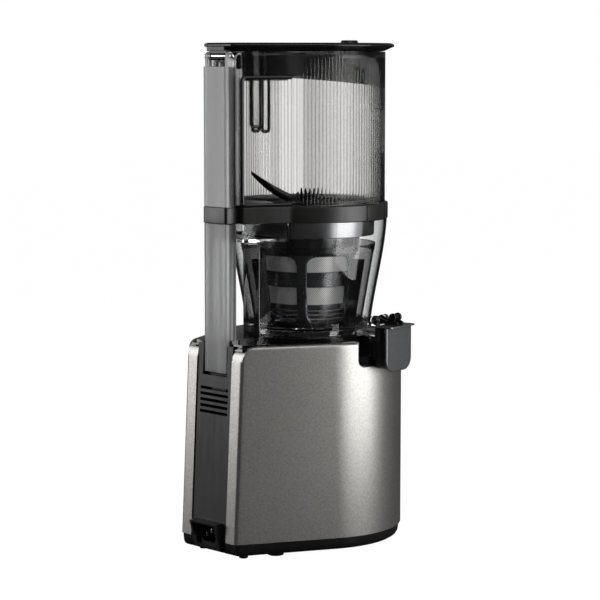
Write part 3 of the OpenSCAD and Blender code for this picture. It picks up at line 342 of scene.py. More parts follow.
# Handling marks: cloudy smears and a few thin wipes change how rough a surface is
def makeMarks():
    group, given = newGroup("handlingMarks", Clean=0.2, Marked=0.3, Scale=18.0)
    vector, scale = given["Vector"], given["Scale"]
    drawn = addNode(group, "Mapping", Vector=vector, Scale=(3.0, 3.0, 0.35)).outputs["Vector"]
    cloud = noise(group, vector, scale, 5, Roughness=0.62)
    wipe = noise(group, drawn, calc(group, "MULTIPLY", scale, 2.7), 2)
    mask = spread(group, calc(group, "MULTIPLY", cloud, wipe), 0.16, 0.36)
    rough = spread(group, mask, 0.0, 1.0, given["Clean"], given["Marked"])
    return closeGroup(group, Roughness=rough, Mask=mask)


# Metal flake in paint: each small cell has its own brightness
def makeFlake():
    group, given = newGroup("metalFlake", Scale=1500.0, Spread=0.25)
    vector, scale = given["Vector"], given["Scale"]
    cells = addNode(group, "TexVoronoi", Vector=vector, Scale=scale)
    fine = noise(group, vector, calc(group, "MULTIPLY", scale, 0.6), 2)
    parts = addNode(group, "SeparateColor", cells.outputs["Color"]).outputs
    change = calc(group, "MULTIPLY", calc(group, "SUBTRACT", parts[0], 0.5), given["Spread"])
    return closeGroup(group, Spark=calc(group, "ADD", change, 1.0),
                      Height=calc(group, "ADD", parts[1], fine))


# Brushed lines: noise drawn out along one axis of the vector
def makeBrush():
    group, given = newGroup("brushedLines", Stretch=(60, 4000, 4000))
    drawn = addNode(group, "VectorMath", given["Vector"], given["Stretch"],
                    setup={"operation": "MULTIPLY"}).outputs[0]
    lines = noise(group, drawn, 1.0, 4)
    return closeGroup(group, Height=lines, Tone=spread(group, lines, 0.3, 0.7))


mouldedGrain, handlingMarks = makeGrain(), makeMarks()
metalFlake, brushedLines = makeFlake(), makeBrush()
print("node groups built")

looks = {}


# A new material with its shader and the object's own coordinates
def newLook(name):
    look = looks[name] = bpy.data.materials.new(name)
    look.use_nodes = True
    tree = look.node_tree
    return tree, tree.nodes["Principled BSDF"], addNode(tree, "TexCoord").outputs["Object"]


def useGroup(tree, group, vector, **values):
    return addNode(tree, "Group", setup={"node_tree": group}, Vector=vector, **values).outputs


# Two tones mixed by a mask that changes over the surface. A grey may be one number
def mixTones(tree, mask, dark, light):
    dark, light = ((*np.broadcast_to(tone, 3), 1) for tone in (dark, light))
    values = {"Factor": mask, "A": dark, "B": light}
    return addNode(tree, "Mix", setup={"data_type": "RGBA"}, **values).outputs["Result"]


# One tone that the mask makes darker and lighter by the same part
def varyTone(tree, mask, tone, change):
    tone = np.array(np.broadcast_to(tone, 3))
    return mixTones(tree, mask, tone * (1 - change), np.minimum(1, tone * (1 + change)))


def bump(tree, height, strength, distance):
    made = addNode(tree, "Bump", Strength=strength, Distance=distance * mm, Height=height)
    return made.outputs["Normal"]


def finishLook(tree, shader, sockets):
    for key, value in sockets.items():
        feed(tree, shader.inputs[key], value)


# Moulded plastic: fine grain, slow change of tone and handling marks
def plastic(name, tone, clean, marked, grain=0.15, grainScale=2400.0, depth=0.02, coat=0.0,
            specular=0.5, change=0.18):
    tree, shader, place = newLook(name)
    texture = useGroup(tree, mouldedGrain, place, Scale=grainScale)
    marks = useGroup(tree, handlingMarks, place, Clean=clean, Marked=marked, Scale=18.0)
    finishLook(tree, shader, {
        "Base Color": varyTone(tree, texture["Tone"], tone, change),
        "Roughness": marks["Roughness"], "Normal": bump(tree, texture["Height"], grain, depth),
        "Coat Weight": coat, "Coat Roughness": 0.06, "Specular IOR Level": specular})


# Paint with metal flake under a satin clear coat
def paint(name, tone, rough, metallic, flakeSpread, coat):
    tree, shader, place = newLook(name)
    flake = useGroup(tree, metalFlake, place, Scale=900.0, Spread=flakeSpread)
    marks = useGroup(tree, handlingMarks, place, Clean=rough - 0.005, Marked=rough + 0.015,
                     Scale=8.0)
    finishLook(tree, shader, {
        "Base Color": varyTone(tree, spread(tree, flake["Spark"], 0.8, 1.2), tone, 0.2),
        "Roughness": marks["Roughness"], "Normal": bump(tree, flake["Height"], 0.12, 0.02),
        "Metallic": metallic, "Coat Weight": coat, "Coat Roughness": 0.22})


# Clear or frosted plastic with real refraction. Seen edge-on, light crosses more of the wall, so
# it darkens. A piece's flute attribute, where it has one, is painted shade: it darkens the
# tint in the valleys between ridges and on sides turned from the lamps, and below zero it paints
# a highlight
def clear(name, tint, edge, clean, marked, ior=1.45, grain=0.0, blend=0.3, flute=0.0, through=1.0,
          paintedStreaks=0.0):
    tree, shader, place = newLook(name)
    marks = useGroup(tree, handlingMarks, place, Clean=clean, Marked=marked, Scale=9.0)
    texture = useGroup(tree, mouldedGrain, place, Scale=900.0)
    depth = addNode(tree, "LayerWeight", Blend=blend).outputs["Facing"]
    if flute:
        # painted shade per point, scaled by this look's flute strength
        paintedMask = addNode(tree, "Attribute", setup={"attribute_name": "flute"}).outputs["Fac"]
        depth = calc(tree, "ADD", depth, calc(tree, "MULTIPLY", paintedMask, flute), clamp=True)
    # painted streaky highlights: vertical noise lightens and darkens the tint
    if paintedStreaks:
        lines = useGroup(tree, brushedLines, place, Stretch=(110, 110, 7))
        change = calc(tree, "MULTIPLY", calc(tree, "SUBTRACT", lines["Tone"], 0.5), paintedStreaks)
        depth = calc(tree, "ADD", depth, change, clamp=True)
    cloud = calc(tree, "MULTIPLY", calc(tree, "SUBTRACT", texture["Tone"], 0.5), 0.08)
    finishLook(tree, shader, {
        "Base Color": mixTones(tree, calc(tree, "ADD", depth, cloud, clamp=True), tint, edge),
        "Roughness": marks["Roughness"], "Transmission Weight": through, "IOR": ior})
    if grain:
        feed(tree, shader.inputs["Normal"], bump(tree, texture["Height"], grain, 0.03))


# Metal with brushed or turned lines
def metal(name, tone, rough, stretch=(60, 4000, 4000), depth=0.01, strength=0.3):
    tree, shader, place = newLook(name)
    lines = useGroup(tree, brushedLines, place, Stretch=stretch)
    marks = useGroup(tree, handlingMarks, place, Clean=rough, Marked=rough + 0.12, Scale=30.0)
    finishLook(tree, shader, {
        "Base Color": varyTone(tree, lines["Tone"], tone, 0.12), "Roughness": marks["Roughness"],
        "Normal": bump(tree, lines["Height"], strength, depth), "Metallic": 1.0})


# Fine mesh: rows of small holes, each row shifted by half a step, from the piece's own map.
# A point is solid where its distance from the nearest hole's middle is more than the hole
def holes(name, pitch, hole):
    tree, shader, place = newLook(name)
    surface = addNode(tree, "UVMap", setup={"uv_map": "surfaceMap"})
    parts = addNode(tree, "SeparateXYZ", surface.outputs[0]).outputs
    u = calc(tree, "DIVIDE", parts["X"], pitch * mm)
    v = calc(tree, "DIVIDE", parts["Y"], pitch * 0.5 * mm)
    shifted = calc(tree, "ADD", u, calc(tree, "MULTIPLY", calc(tree, "FLOOR", v), 0.5))
    du, dv = (calc(tree, "SUBTRACT", calc(tree, "FRACT", value), 0.5) for value in (shifted, v))
    dv = calc(tree, "MULTIPLY", dv, 0.5)
    far = calc(tree, "SQRT", calc(tree, "ADD", *(calc(tree, "MULTIPLY", d, d) for d in (du, dv))))
    solid = spread(tree, far, hole * 0.8, hole * 1.15)
    marks = useGroup(tree, handlingMarks, place, Clean=0.34, Marked=0.46, Scale=30.0)
    finishLook(tree, shader, {
        "Base Color": mixTones(tree, solid, 0.36, (0.97, 0.97, 0.96)),
        "Roughness": marks["Roughness"], "Normal": bump(tree, solid, 0.3, 0.05), "Metallic": 0.1})


paint("coverPaint", (0.42, 0.41, 0.39), 0.38, 0.92, 0.3, 0.25)
paint("capPaint", (0.25, 0.255, 0.26), 0.30, 0.85, 0.15, 0.3)
paint("frameSatin", (0.10, 0.10, 0.105), 0.27, 0.7, 0.04, 0.2)
paint("collarSatin", (0.28, 0.28, 0.29), 0.28, 0.85, 0.04, 0.2)
plastic("glossBlack", (0.006, 0.006, 0.0065), 0.06, 0.14, grain=0.03, depth=0.01, coat=0.25)
plastic("pianoBlack", (0.004, 0.004, 0.0045), 0.03, 0.08, grain=0.02, depth=0.006, coat=0.4)
plastic("satinBlack", (0.007, 0.007, 0.0075), 0.30, 0.42, grain=0.16, specular=0.4)
plastic("lidBlack", 0.006, 0.24, 0.34, grain=0.10, depth=0.015, specular=0.4)
plastic("ringGray", (0.016, 0.015, 0.0145), 0.30, 0.40, grain=0.14)
plastic("panelGray", (0.020, 0.020, 0.021), 0.42, 0.52, grain=0.35, depth=0.04, grainScale=1500.0)
plastic("footRubber", 0.010, 0.70, 0.85, grain=0.4, depth=0.04, grainScale=1200.0)
plastic("motorBlack", 0.02, 0.45, 0.6, grain=0.2, depth=0.03)
plastic("silicone", (0.20, 0.20, 0.21), 0.50, 0.62, grain=0.12)
plastic("gearPlastic", (0.70, 0.66, 0.54), 0.36, 0.48, grain=0.12)
plastic("boardGreen", (0.03, 0.16, 0.06), 0.34, 0.45, grain=0.2, change=0.3)
clear("smokeDark", 0.42, 0.08, 0.03, 0.08, ior=1.35)
clear("drumClear", 0.985, (0.26, 0.27, 0.28), 0.0, 0.015, ior=1.32, blend=0.26)
clear("skirtSmoke", 0.16, 0.03, 0.04, 0.10, ior=1.3)
clear("hopperSmoke", (0.96, 0.955, 0.95), 0.12, 0.01, 0.04, ior=1.30, blend=0.16, flute=0.85)
clear("ductSmoke", 0.30, 0.06, 0.02, 0.06, ior=1.3)
clear("columnFrost", (0.98, 0.985, 0.99), 0.08, 0.30, 0.38, ior=1.3, grain=0.12, blend=0.14,
      flute=1.0, through=0.7, paintedStreaks=0.34)
clear("columnSmoke", 0.985, 0.22, 0.15, 0.22, ior=1.35, grain=0.12, blend=0.2, flute=1.0,
      through=0.62, paintedStreaks=0.10)
# pale frosted look of the corner beads: their brightness is a painted highlight
clear("paleBeadHighlight", 0.99, 0.80, 0.22, 0.30, grain=0.05, through=0.6)
metal("steel", (0.60, 0.60, 0.61), 0.20, stretch=(900, 900, 4000))
metal("chrome", (0.80, 0.80, 0.81), 0.05, strength=0.08)
metal("alloy", (0.66, 0.66, 0.67), 0.38, stretch=(700, 700, 700), strength=0.4, depth=0.05)
metal("iron", (0.30, 0.30, 0.31), 0.42, stretch=(300, 300, 6000), strength=0.8, depth=0.05)
metal("copper", (0.62, 0.26, 0.10), 0.26, stretch=(500, 500, 3000), strength=0.7, depth=0.06)
metal("bronze", (0.60, 0.40, 0.16), 0.30, stretch=(800, 800, 2000))
metal("contact", (0.74, 0.72, 0.66), 0.16, stretch=(2000, 80, 2000))
holes("strainerMesh", 2.2, 0.25)
print("materials built:", len(looks))

base = dict(radius=93.0, rearHalf=41.4, rearY=133.8, lean=3.0, corner=4.5, bottom=17.0, top=206.0,
            edge=3.0, wall=2.0, rim=5.2, panelHalf=25.3, rearRound=14.0, notchHalf=36.0,
            notchZ=181.5, notchRound=7.0, spoutTurn=190.5)


# The y of the leaning rear face at a height
def rearAt(z):
    return base["rearY"] - z * math.tan(math.radians(base["lean"]))


# One level of the base: rear flat, corner, straight side, round front and back again, shrunk by
# inset. The front is cut in three at the notch, whose sides run beside the spout's line
def bodyRing(z, inset):
    b = base
    x, y = b["rearHalf"] - b["corner"], rearAt(z) - max(b["corner"], inset + 0.6)
    small, big = max(0.6, b["corner"] - inset), b["radius"] - inset
    turn = tangentTurn(x, y, big - small)
    cut = math.degrees(math.asin(b["notchHalf"] / big))
    spout = b["spoutTurn"]
    flat = np.stack([np.linspace(-b["panelHalf"], -x, 5), np.full(5, y + small)], -1)
    corner = arc((-x, y), small, 90, 180 - turn, 14)
    near = arc((0, 0), big, 180 - turn, spout - cut, 12)
    side = np.linspace(corner[-1], near[0], 24)
    across = np.concatenate([np.linspace(-1, -0.8, 9), np.linspace(-0.8, 0.8, 25)[1:-1],
                             np.linspace(0.8, 1, 9)])
    notchTurn = np.arcsin(across * b["notchHalf"] / big) + math.radians(spout)
    notch = polar(big, notchTurn)
    front = arc((0, 0), big, spout + cut, 360 + turn, 110)
    parts = [flat, corner[1:], side[1:], near[1:], notch[1:-1], front]
    parts += [(part * mirror)[::-1][1:] for part in (side, corner, flat)]
    sizes = np.cumsum([len(part) for part in parts])
    return np.concatenate(parts), (sizes[3] - 1, sizes[4]), across


# Height of the rounded upper rear edge above a place: the arc of its radius between rear and top
def rearArc(y):
    r = base["rearRound"]
    back = rearAt(base["top"]) - r
    return base["top"] - r + np.sqrt(np.clip(r**2 - np.clip(y - back, 0, r)**2, 0, None))


def makeCover():
    b = base
    (first, last), across = bodyRing(b["bottom"], 0)[1:]
    seam = b["notchZ"] + b["notchRound"]
    # the lower band's upper edge in the notch: its floor with round corners
    over = np.clip(np.abs(across) * b["notchHalf"] - (b["notchHalf"] - b["notchRound"]), 0, None)
    dip = seam - np.sqrt(np.clip(b["notchRound"]**2 - over**2, 0, None))
    lower = np.array([lift(bodyRing(z, 0)[0], z) for z in np.linspace(b["bottom"], seam, 15)])
    lower[:, first:last + 1, 2] = b["bottom"] + (dip - b["bottom"]) * np.linspace(0, 1, 15)[:, None]
    shoulder = b["top"] - b["edge"]
    profile = [(0, z) for z in np.linspace(seam, shoulder, 7)]
    profile += list(arc((b["edge"], shoulder), b["edge"], 180, 90, 9)[1:])
    profile += [((b["rim"] + b["edge"]) / 2, b["top"]), (b["rim"], b["top"])]
    upper = np.array([lift(bodyRing(z, inset)[0], z) for inset, z in profile])
    for band in (lower, upper):
        band[..., 2] = np.minimum(band[..., 2], rearArc(band[..., 1]))
    makePiece("metalCover", [lower, upper[:, :first + 1], upper[:, last:]], "coverPaint", "base",
              stands="base_cover", slot="metallic_gray", wall=b["wall"], bevel=0.5, bevelSteps=3,
              angle=40, openSheet=True)


pan = dict(corner=6.6, wall=2.5, hoodHalf=18.8,
           levels=((6.0, 5.0), (3.8, 6.4), (2.6, 8.6), (2.0, 12.5), (1.6, 16.7)))        # inset, z


# One level of the pan, drawn in from the cover's line, with a gap at the rear for the hood
def panRing(z, inset):
    x, y = base["rearHalf"] - base["corner"], rearAt(z) - pan["corner"]
    small, big = pan["corner"] - inset, base["radius"] - inset
    turn = tangentTurn(x, y, big - small)
    flat = np.stack([np.linspace(pan["hoodHalf"], x, 6), np.full(6, y + small)], -1)
    corner = arc((x, y), small, turn, 90, 12)
    front = arc((0, 0), big, 180 - turn, 360 + turn, 150)
    return np.concatenate([flat * mirror, (corner * mirror)[::-1][1:], front, corner,
                           flat[::-1][1:]])


def makePan():
    grid = np.array([lift(panRing(z, inset), z) for inset, z in pan["levels"]])
    closing = np.linspace(grid[:3, -1], grid[:3, 0], 6, axis=1)
    makePiece("underPan", [grid, closing], "satinBlack", "base", stands="bottom_pan",
              slot="black_plastic", caps=[np.concatenate([grid[0], closing[0, 1:]])[::-1]],
              wall=pan["wall"], bevel=0.4, angle=40, openSheet=True)


boss = dict(bore=16, radius=57.2, top=213.8)


# Low boss in the deck that fills the hollow under the drum and leaves the drive shaft free
def makeBoss():
    b, foot = boss, float(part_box("top_deck")[1][2]) / mm - 0.4
    profile = roundRing((b["bore"], foot), (b["bore"], b["top"], 0.6), (b["radius"], b["top"], 1.2),
                        (b["radius"], foot), steps=5)
    makePiece("seatBoss", [revolve(profile)], "pianoBlack", "base", angle=40)


feet = ((-29, 113, 4.5), (29, 113, 4.5), (-40, 81, 8), (40, 81, 8), (-65, -6, 5), (65, -6, 5),
        (-34, -66, 5), (34, -66, 5))        # x, y and radius


# Feet: a short round pad with a rolled lower edge
def makeFeet():
    grids = []
    for x, y, r in feet:
        profile = roundLine((0, 0), (r - 0.1, 0, 0.9), (r, 5.0, 0.4), (r - 1.3, 5.0),
                            (r - 1.3, 6.0, 0.2), (0, 6.0), steps=4)
        grids.append(placed(revolve(profile, 32), move=(x, y, 0)))
    makePiece("rubberPads", grids, "footRubber", "base", stands="rubber_feet")


makeCover()
makePan()
for node, name, look, bevel, steps in (("top_deck", "blackDeck", "pianoBlack", 0.5, 3),
                                       ("rear_panel", "ventedPanel", "panelGray", 0.4, 2),
                                       ("inlet_socket", "inletBody", "satinBlack", 0.25, 2),
                                       ("inlet_pins", "inletContacts", "contact", 0.4, 3)):
    dressNode(node, name, look, "base", bevel=bevel, bevelSteps=steps, angle=35)
makeBoss()
makeFeet()
print("base built")

drum = dict(topR=78.0, footR=62.0, wall=2.6, bottom=209.2, rim=320.9, floor=214.6, floorT=3.0,
            boreR=12, ledge=303.7, neckWall=2.4, grooveZ=306.5,
            groove=((-3.5, 0.55, 0.9), (0, -0.25, 0.7)))        # height, depth and width
# the keyhole that drum, hopper and ring share: where its neck leaves the circle, and its end
neck = dict(turn=35.5, half=25.0, y=109.0, corner=2.5)


# A cubic curve through four control values
def cubic(p, u):
    return p[0] * (1 - u)**3 + 3 * p[1] * u * (1 - u)**2 + 3 * p[2] * u**2 * (1 - u) + p[3] * u**3


def makeDrum():
    d = drum
    u = np.linspace(0, 1, 40)
    r = cubic([d["footR"], d["footR"] + 2.5, d["topR"] - 1, d["topR"]], u)
    z = cubic([d["floor"], d["floor"] + 30, d["floor"] + 75, d["rim"]], u)
    inner = np.stack([r - d["wall"], z], -1)
    floorTop, foot = d["floor"] + d["floorT"], d["footR"] - 4
    inner = inner[inner[:, 1] > floorTop + 1.5]
    # a fine groove near the rim, where the hopper locks
    groove = sum(deep * np.exp(-((z - d["grooveZ"] - up) / wide)**2)
                 for up, deep, wide in d["groove"])
    outer = np.stack([r + np.where(z < d["grooveZ"] + 5.5, np.clip(groove, -1, 0), 0), z], -1)
    low = roundLine((d["boreR"], d["floor"]), (foot, d["floor"], 0.6), (foot, d["bottom"], 0.5),
                    (d["footR"], d["bottom"], 1.0), (d["footR"], d["floor"]), steps=4)
    bowl = roundLine((inner[0, 0], inner[0, 1] + 2), (d["footR"] - d["wall"], floorTop, 2.5),
                     (d["boreR"], floorTop))
    profile = np.concatenate([low[:-1], outer, inner[::-1], bowl, low[:1]])
    makePiece("clearDrum", [revolve(profile, 160)], "drumClear", "drum", stands="drum",
              slot="clear", angle=30)


# Neck of the drum: the keyhole's part outside the pot, as a trough with a floor
def makeNeck():
    d, n = drum, neck
    right, left = arc((0, 0), d["topR"], 90 - n["turn"], 90 + n["turn"], 2)
    tail = roundLine(right, (n["half"], n["y"], n["corner"]),
                     (-n["half"], n["y"], n["corner"]), left)
    front = arc((0, 0), d["topR"] + 0.1, 90 - n["turn"], 90 + n["turn"], 40)[::-1]
    ring = np.concatenate([refine(tail, 2.0)[1:-1], front[1:-1]])
    profile = roundLine((0, d["ledge"]), (0, d["rim"], 0.5), (-d["neckWall"], d["rim"], 0.5),
                        (-d["neckWall"], d["ledge"] + 2.6), steps=4)
    wall = carry(np.concatenate([ring, ring[:1]]), profile)
    makePiece("drumNeck", [wall], "drumClear", "drum", stands="drum_neck", slot="clear",
              caps=ends(wall), angle=30)


# Upright sheets between two places of the plan, one on each side of the neck
def sidePanels(name, start, end, thick, corner, step, places, look, body, **finish):
    along = unit(end - start)
    inward = np.array([-along[1], along[0]])
    inward *= np.sign(inward[0]) * thick
    spots = (start, end, end + inward, start + inward)
    ring = refine(roundRing(*((*spot, corner) for spot in spots), steps=4), step)
    sheets = [extrude(ring, places), extrude((ring * mirror)[::-1], places)]
    makePiece(name, sheets, look, body, slot="smoked", caps=ends(*sheets), angle=40, **finish)


spout = dict(radius=6.3, bore=4.5, z=208.2, reach=92.5, start=44.0)


# Spout tube: a clear pipe with a domed inner end and a rolled lip
def makeSpout():
    s = spout
    radius, reach, start = s["radius"], s["reach"], s["start"]
    profile = roundLine((s["bore"], 52), (s["bore"], reach, 0.6), (radius, reach, 0.8),
                        (radius, 82), (radius, start, 0.5), (5.2, start - 3.6, 0.8),
                        (3.0, start - 5.0, 0.6), (0, start - 5.0), steps=4)
    pipe = revolve(np.concatenate([[(0, 50), (3.2, 50.4)], profile]), 48)
    pipe = turned(placed(pipe, order=(2, 1, 0), move=(0, 0, s["z"])), base["spoutTurn"])
    makePiece("spoutPipe", [pipe], "drumClear", "drum", stands="drum_spout", slot="clear", angle=30)


column = dict(half=16.4, y0=109.0, y1=122.6, wall=2.2, low=178.3, top=320.9, upperLow=337.22,
              upperTop=469.9, paintedSideShade=0.8)


# Hollow column, with an inner wall that follows the outer one
def makeColumn(name, node, body, z0, z1, look, slot, closedBelow=True):
    c, half, y0, y1, inner = column, column["half"], column["y0"], column["y1"], -column["wall"]
    outer = refine(roundRing((half, y0, 2.0), (half, y1, 2.0),
                             (-half, y1, 2.0), (-half, y0, 2.0)), 3.0)
    wall = carry(outer, roundLine((0, z0), (0, z1, 0.5), (inner, z1, 0.4),
                                  (inner, z0 + 3 * closedBelow), steps=3))
    caps = ends(wall) if closedBelow else []
    if not closedBelow:
        wall = np.concatenate([wall, wall[:1]])
    # painted shade: the sides are painted darker than the broad face, and the strip at each rear
    # corner is painted lighter, a painted highlight
    x, y = np.abs(wall[0, :, 0]), wall[0, :, 1]
    shade = (c["paintedSideShade"] * np.clip((x - half + 0.9) / 0.8, 0, 1)
             * (y < y1 - 2.2) * (y > y0 + 1.6))
    # below zero on the corner strip: a painted highlight that lifts the tint
    shade = np.where((x > half - 4.0) & (y > y1 - 2.6), -0.5, shade)
    makePiece(name, [wall], look, body, stands=node, slot=slot, caps=caps, angle=30,
              flute=np.broadcast_to(shade, wall.shape[:2]))


makeDrum()
makeNeck()
# smoked side walls under the neck, between the pot and the column
chute = dict(rear=(-24.2, 107.6), front=(-31.2, 93.2), wall=1.8, low=211.6, top=301.4)
sidePanels("chuteWalls", np.array(chute["rear"]), np.array(chute["front"]), chute["wall"], 0.5,
           3.0, np.linspace(chute["low"], chute["top"], 12), "ductSmoke", "drum", bevel=0.3)
makeSpout()
dressNode("pulp_duct", "pulpDuct", "drumClear", "drum", bevel=0.4)
dressNode("cap_bracket", "capBracket", "hopperSmoke", "drum", slot="smoked", bevel=0.5,
          bevelSteps=3)
makeColumn("lowerColumn", "drum_column", "drum", column["low"], column["top"], "columnFrost",
           "frosted")

strainer = dict(topR=50.0, footR=41.0, low=217.62, top=303.7, wall=2.4, windows=5, windowLow=220.0,
                windowTop=286.4, windowRound=10.0, windowTurn=164.7, ribHalf=4.4, recess=1.1,
                hoop=(255.4, 270.1), solidTop=237.8, slots=(223.6, 228.0, 232.4), slotHalf=0.6)
wiper = dict(topR=67.0, footR=53.5, low=217.62, top=296.62, wall=2.0, arms=3, turn=76.5, half=20.0)


# Radius at z of a cone between its foot and its top
def coneAt(piece, z):
    foot, low = piece["footR"], piece["low"]
    return foot + (piece["topR"] - foot) * (z - low) / (piece["top"] - low)


# The frame is a cone pressed in at its windows. Each window is a rounded field between two ribs,
# and the depth rises over half a millimetre from its edge: inside the field the wall steps in
def makeStrainer():
    s = strainer
    turn, z = np.meshgrid(np.linspace(0, 2 * np.pi, 84 * s["windows"] + 1),
                          np.linspace(s["low"], s["top"] + 2.2, 150))
    cone = coneAt(s, z)
    cell = 2 * np.pi / s["windows"]
    local = (turn - math.radians(s["windowTurn"]) + cell / 2) % cell - cell / 2
    r = s["windowRound"]
    middle, reach = (s["windowLow"] + s["windowTop"]) / 2, (s["windowTop"] - s["windowLow"]) / 2
    dx = np.clip(np.abs(local) * cone - (cell * cone / 2 - s["ribHalf"]) + r, 0, None)
    dz = np.clip(np.abs(z - middle) - reach + r, 0, None)
    field = np.hypot(dx, dz) - r                 # below 0 inside the window
    press = np.clip(0.5 - field / 0.6, 0, 1)
    press = press * press * (3 - 2 * press)
    slots = np.any([np.abs(z - middle) < s["slotHalf"] for middle in s["slots"]], axis=0)
    solid = ((z > s["hoop"][0]) & (z < s["hoop"][1])) | (z < s["solidTop"]) & ~slots
    bead = 1.5 * (np.clip((z - s["windowTop"] - 1) / 1.5, 0, 1)
                  + np.clip((s["windowLow"] - 0.5 - z) / 1.5, 0, 1))
    flange = np.clip((z - s["top"]) / 0.4, 0, 1)
    outer = (cone + bead - press * s["recess"]) * (1 - flange) + (s["topR"] + 4) * flange
    # open the windows: leave out the cells inside the field that aren't on a solid band
    hollow = ((field[:-1, :-1] + field[1:, 1:]) / 2 < -0.9) & ~solid[:-1, :-1]
    quads = gridQuads(*z.shape)[~hollow]
    mesh = bpy.data.meshes.new("strainerCage")
    points = polar(outer, turn, z).reshape(-1, 3) * mm
    mesh.from_pydata(points.tolist(), [], quads.tolist())
    flow = np.stack([turn * 40, z], -1).reshape(-1, 2)[quads.ravel()] * mm
    mesh.uv_layers.new(name="surfaceMap").data.foreach_set("uv", flow.ravel())
    cleanMesh(mesh)
    finishPiece("strainerCage", mesh, "frameSatin", "drum", stands="strainer_frame",
                slot="black_gloss", wall=s["wall"] - s["recess"], angle=50)


# Mesh sleeve that lies inside the frame
def makeSleeve():
    s = strainer
    z = np.linspace(s["windowLow"] - 1, s["windowTop"] + 3, 20)
    outer = np.stack([coneAt(s, z) - s["wall"] - 0.25, z], -1)
    section = np.concatenate([outer, (outer - [0.4, 0])[::-1], outer[:1]])
    makePiece("steelSleeve", [revolve(section, 120)], "strainerMesh", "drum",
              stands="strainer_mesh", slot="mesh_steel", angle=30)


# Wiper cage: two rings and the arms between them, closed bands between two angles and two heights
def makeWiper():
    w = wiper
    grids, caps = [], []
    bands = [(w["low"], w["low"] + 5, 0, 360, 120), (w["top"] - 8, w["top"], 0, 360, 120)]
    for middle in w["turn"] + 360 / w["arms"] * np.arange(w["arms"]):
        bands.append((w["low"] + 4.6, w["top"] - 7.6, middle - w["half"], middle + w["half"], 20))
    for z0, z1, a0, a1, columns in bands:        # heights, angles and columns of each
        z = np.linspace(z0, z1, 12)
        outer = np.stack([coneAt(w, z), z], -1)
        section = np.concatenate([outer, (outer - [w["wall"], 0])[::-1], outer[:1]])
        sheet = revolve(section, columns, a0, a1)
        grids.append(sheet)
        caps += [] if a1 - a0 == 360 else [sheet[:, 0], sheet[:, -1][::-1]]
    makePiece("wiperCage", grids, "smokeDark", "drum", stands="wiper_cage", caps=caps, angle=40,
              bevel=0.4)


auger = dict(low=221.6, ledge=303.7, top=325.2, footR=37.2, headR=46.2, flight=5.0, twist=300,
             socketR=5.95, socketTop=235.8)


# Auger: the radius of the screw is a round core with two raised flights that wind upwards,
# r = foot + (head - foot) h - flight (1 - wave), where wave follows cos 2(a - twist h)
def makeAuger():
    g = auger
    low, ledge, head = g["low"], g["ledge"], g["headR"]
    h, a = np.linspace(0, 1, 120)[:, None], np.linspace(0, 2 * np.pi, 145)[None]
    wave = np.clip(np.cos(2 * (a - math.radians(g["twist"]) * h)), 0, 1)**3
    r = (g["footR"] - g["flight"] * (1 - wave)) * (1 + (head / g["footR"] - 1) * h)
    screw = polar(r, a, low + (ledge - low) * h)
    crown = roundLine((head * 0.83, ledge), (head, ledge + 0.6, 0.5), (head, ledge + 4, 1.5),
                      (head + 8, ledge + 12, 2), (head + 8, g["top"], 1.0), (0, g["top"]), steps=5)
    socket = roundLine((0, g["socketTop"]), (g["socketR"], g["socketTop"], 0.3),
                       (g["socketR"], low + 0.4, 0.4), (14, low, 0.5), (20, low), steps=3)
    under = np.concatenate([revolve(socket, 144), screw[:1]])
    above = np.concatenate([screw[-1:], revolve(crown, 144)])
    makePiece("screwBody", [under, screw, above], "frameSatin", "auger", stands="auger", angle=40)


wing = dict(foot=325.22, radius=56, height=24.9, dish=11, rise=42, bladeStart=9, bladeReach=48.2,
            bladeTurn=66, sweep=19.6, crest=16, under=10, tipDepth=3.4)


# Slicing wing: a hub cone with a dished underside and a blade, a thin curved horn that leaves the
# cone and climbs outwards as it turns
def makeWing():
    w, top = wing, wing["foot"]
    hub = roundLine((0, top + w["height"]), (5, top + w["height"], 2.5), (20, top + 14, 8),
                    (w["radius"], top, 0.6), (w["radius"] - 3, top, 0.6),
                    (14, top + w["dish"], 3), (0, top + w["dish"]))
    s = np.linspace(0, 1, 48)
    turn = np.radians(w["bladeTurn"] - w["sweep"] * s**1.3)
    centre = polar(w["bladeStart"] + w["bladeReach"] * s, turn)[:, None]
    sideways = polar(1, turn + math.pi / 2)[:, None]
    crest = top + w["crest"] + (w["rise"] - w["crest"]) * s**1.25
    foot = top + w["under"] + (w["rise"] - w["tipDepth"] - w["under"]) * s**1.9
    height = foot[:, None] + (crest - foot)[:, None] * np.array([0, 0.12, 0.5, 0.85, 1.0])
    width = ((2.4 - 1.3 * s)[:, None] * np.array([0.7, 1.0, 0.9, 0.5, 0.1]))[..., None]
    left, right = (np.concatenate([centre + side * sideways * width, height[..., None]], -1)
                   for side in (1, -1))
    blade = np.concatenate([left, right[:, ::-1], left[:, :1]], 1)
    makePiece("slicingWing", [revolve(hub[::-1], 144), blade], "glossBlack", "auger",
              stands="slicing_wing", caps=[blade[0], blade[-1][::-1]], angle=40)


makeStrainer()
makeSleeve()
makeWiper()
dressNode("wiper_blades", "wiperBlades", "silicone", "drum")
makeAuger()
makeWing()
print("drum, strainer and auger built")

# the shade values and bands are painted shade on the clear wall; a band below zero is a painted
# highlight
hopper = dict(radius=76.0, wall=2.5, low=337.22, rim=484.2, flutes=134, perFlute=8, depth=0.65,
              openR=63.0, smoothTurn=3.2, paintedNeckShade=0.38, paintedWallShade=0.14, paintedValleyShade=0.86,
              bands=((139, 0.22), (163, -0.12)), bandTurn=8.0)        # bands: turn and shade
ringPiece = dict(radius=79.0, low=321.2, top=337.2, slitTurn=182.7, slitDepth=1.1, tailHalf=17.0,
                 tailY=123.2, collarLow=305.2)


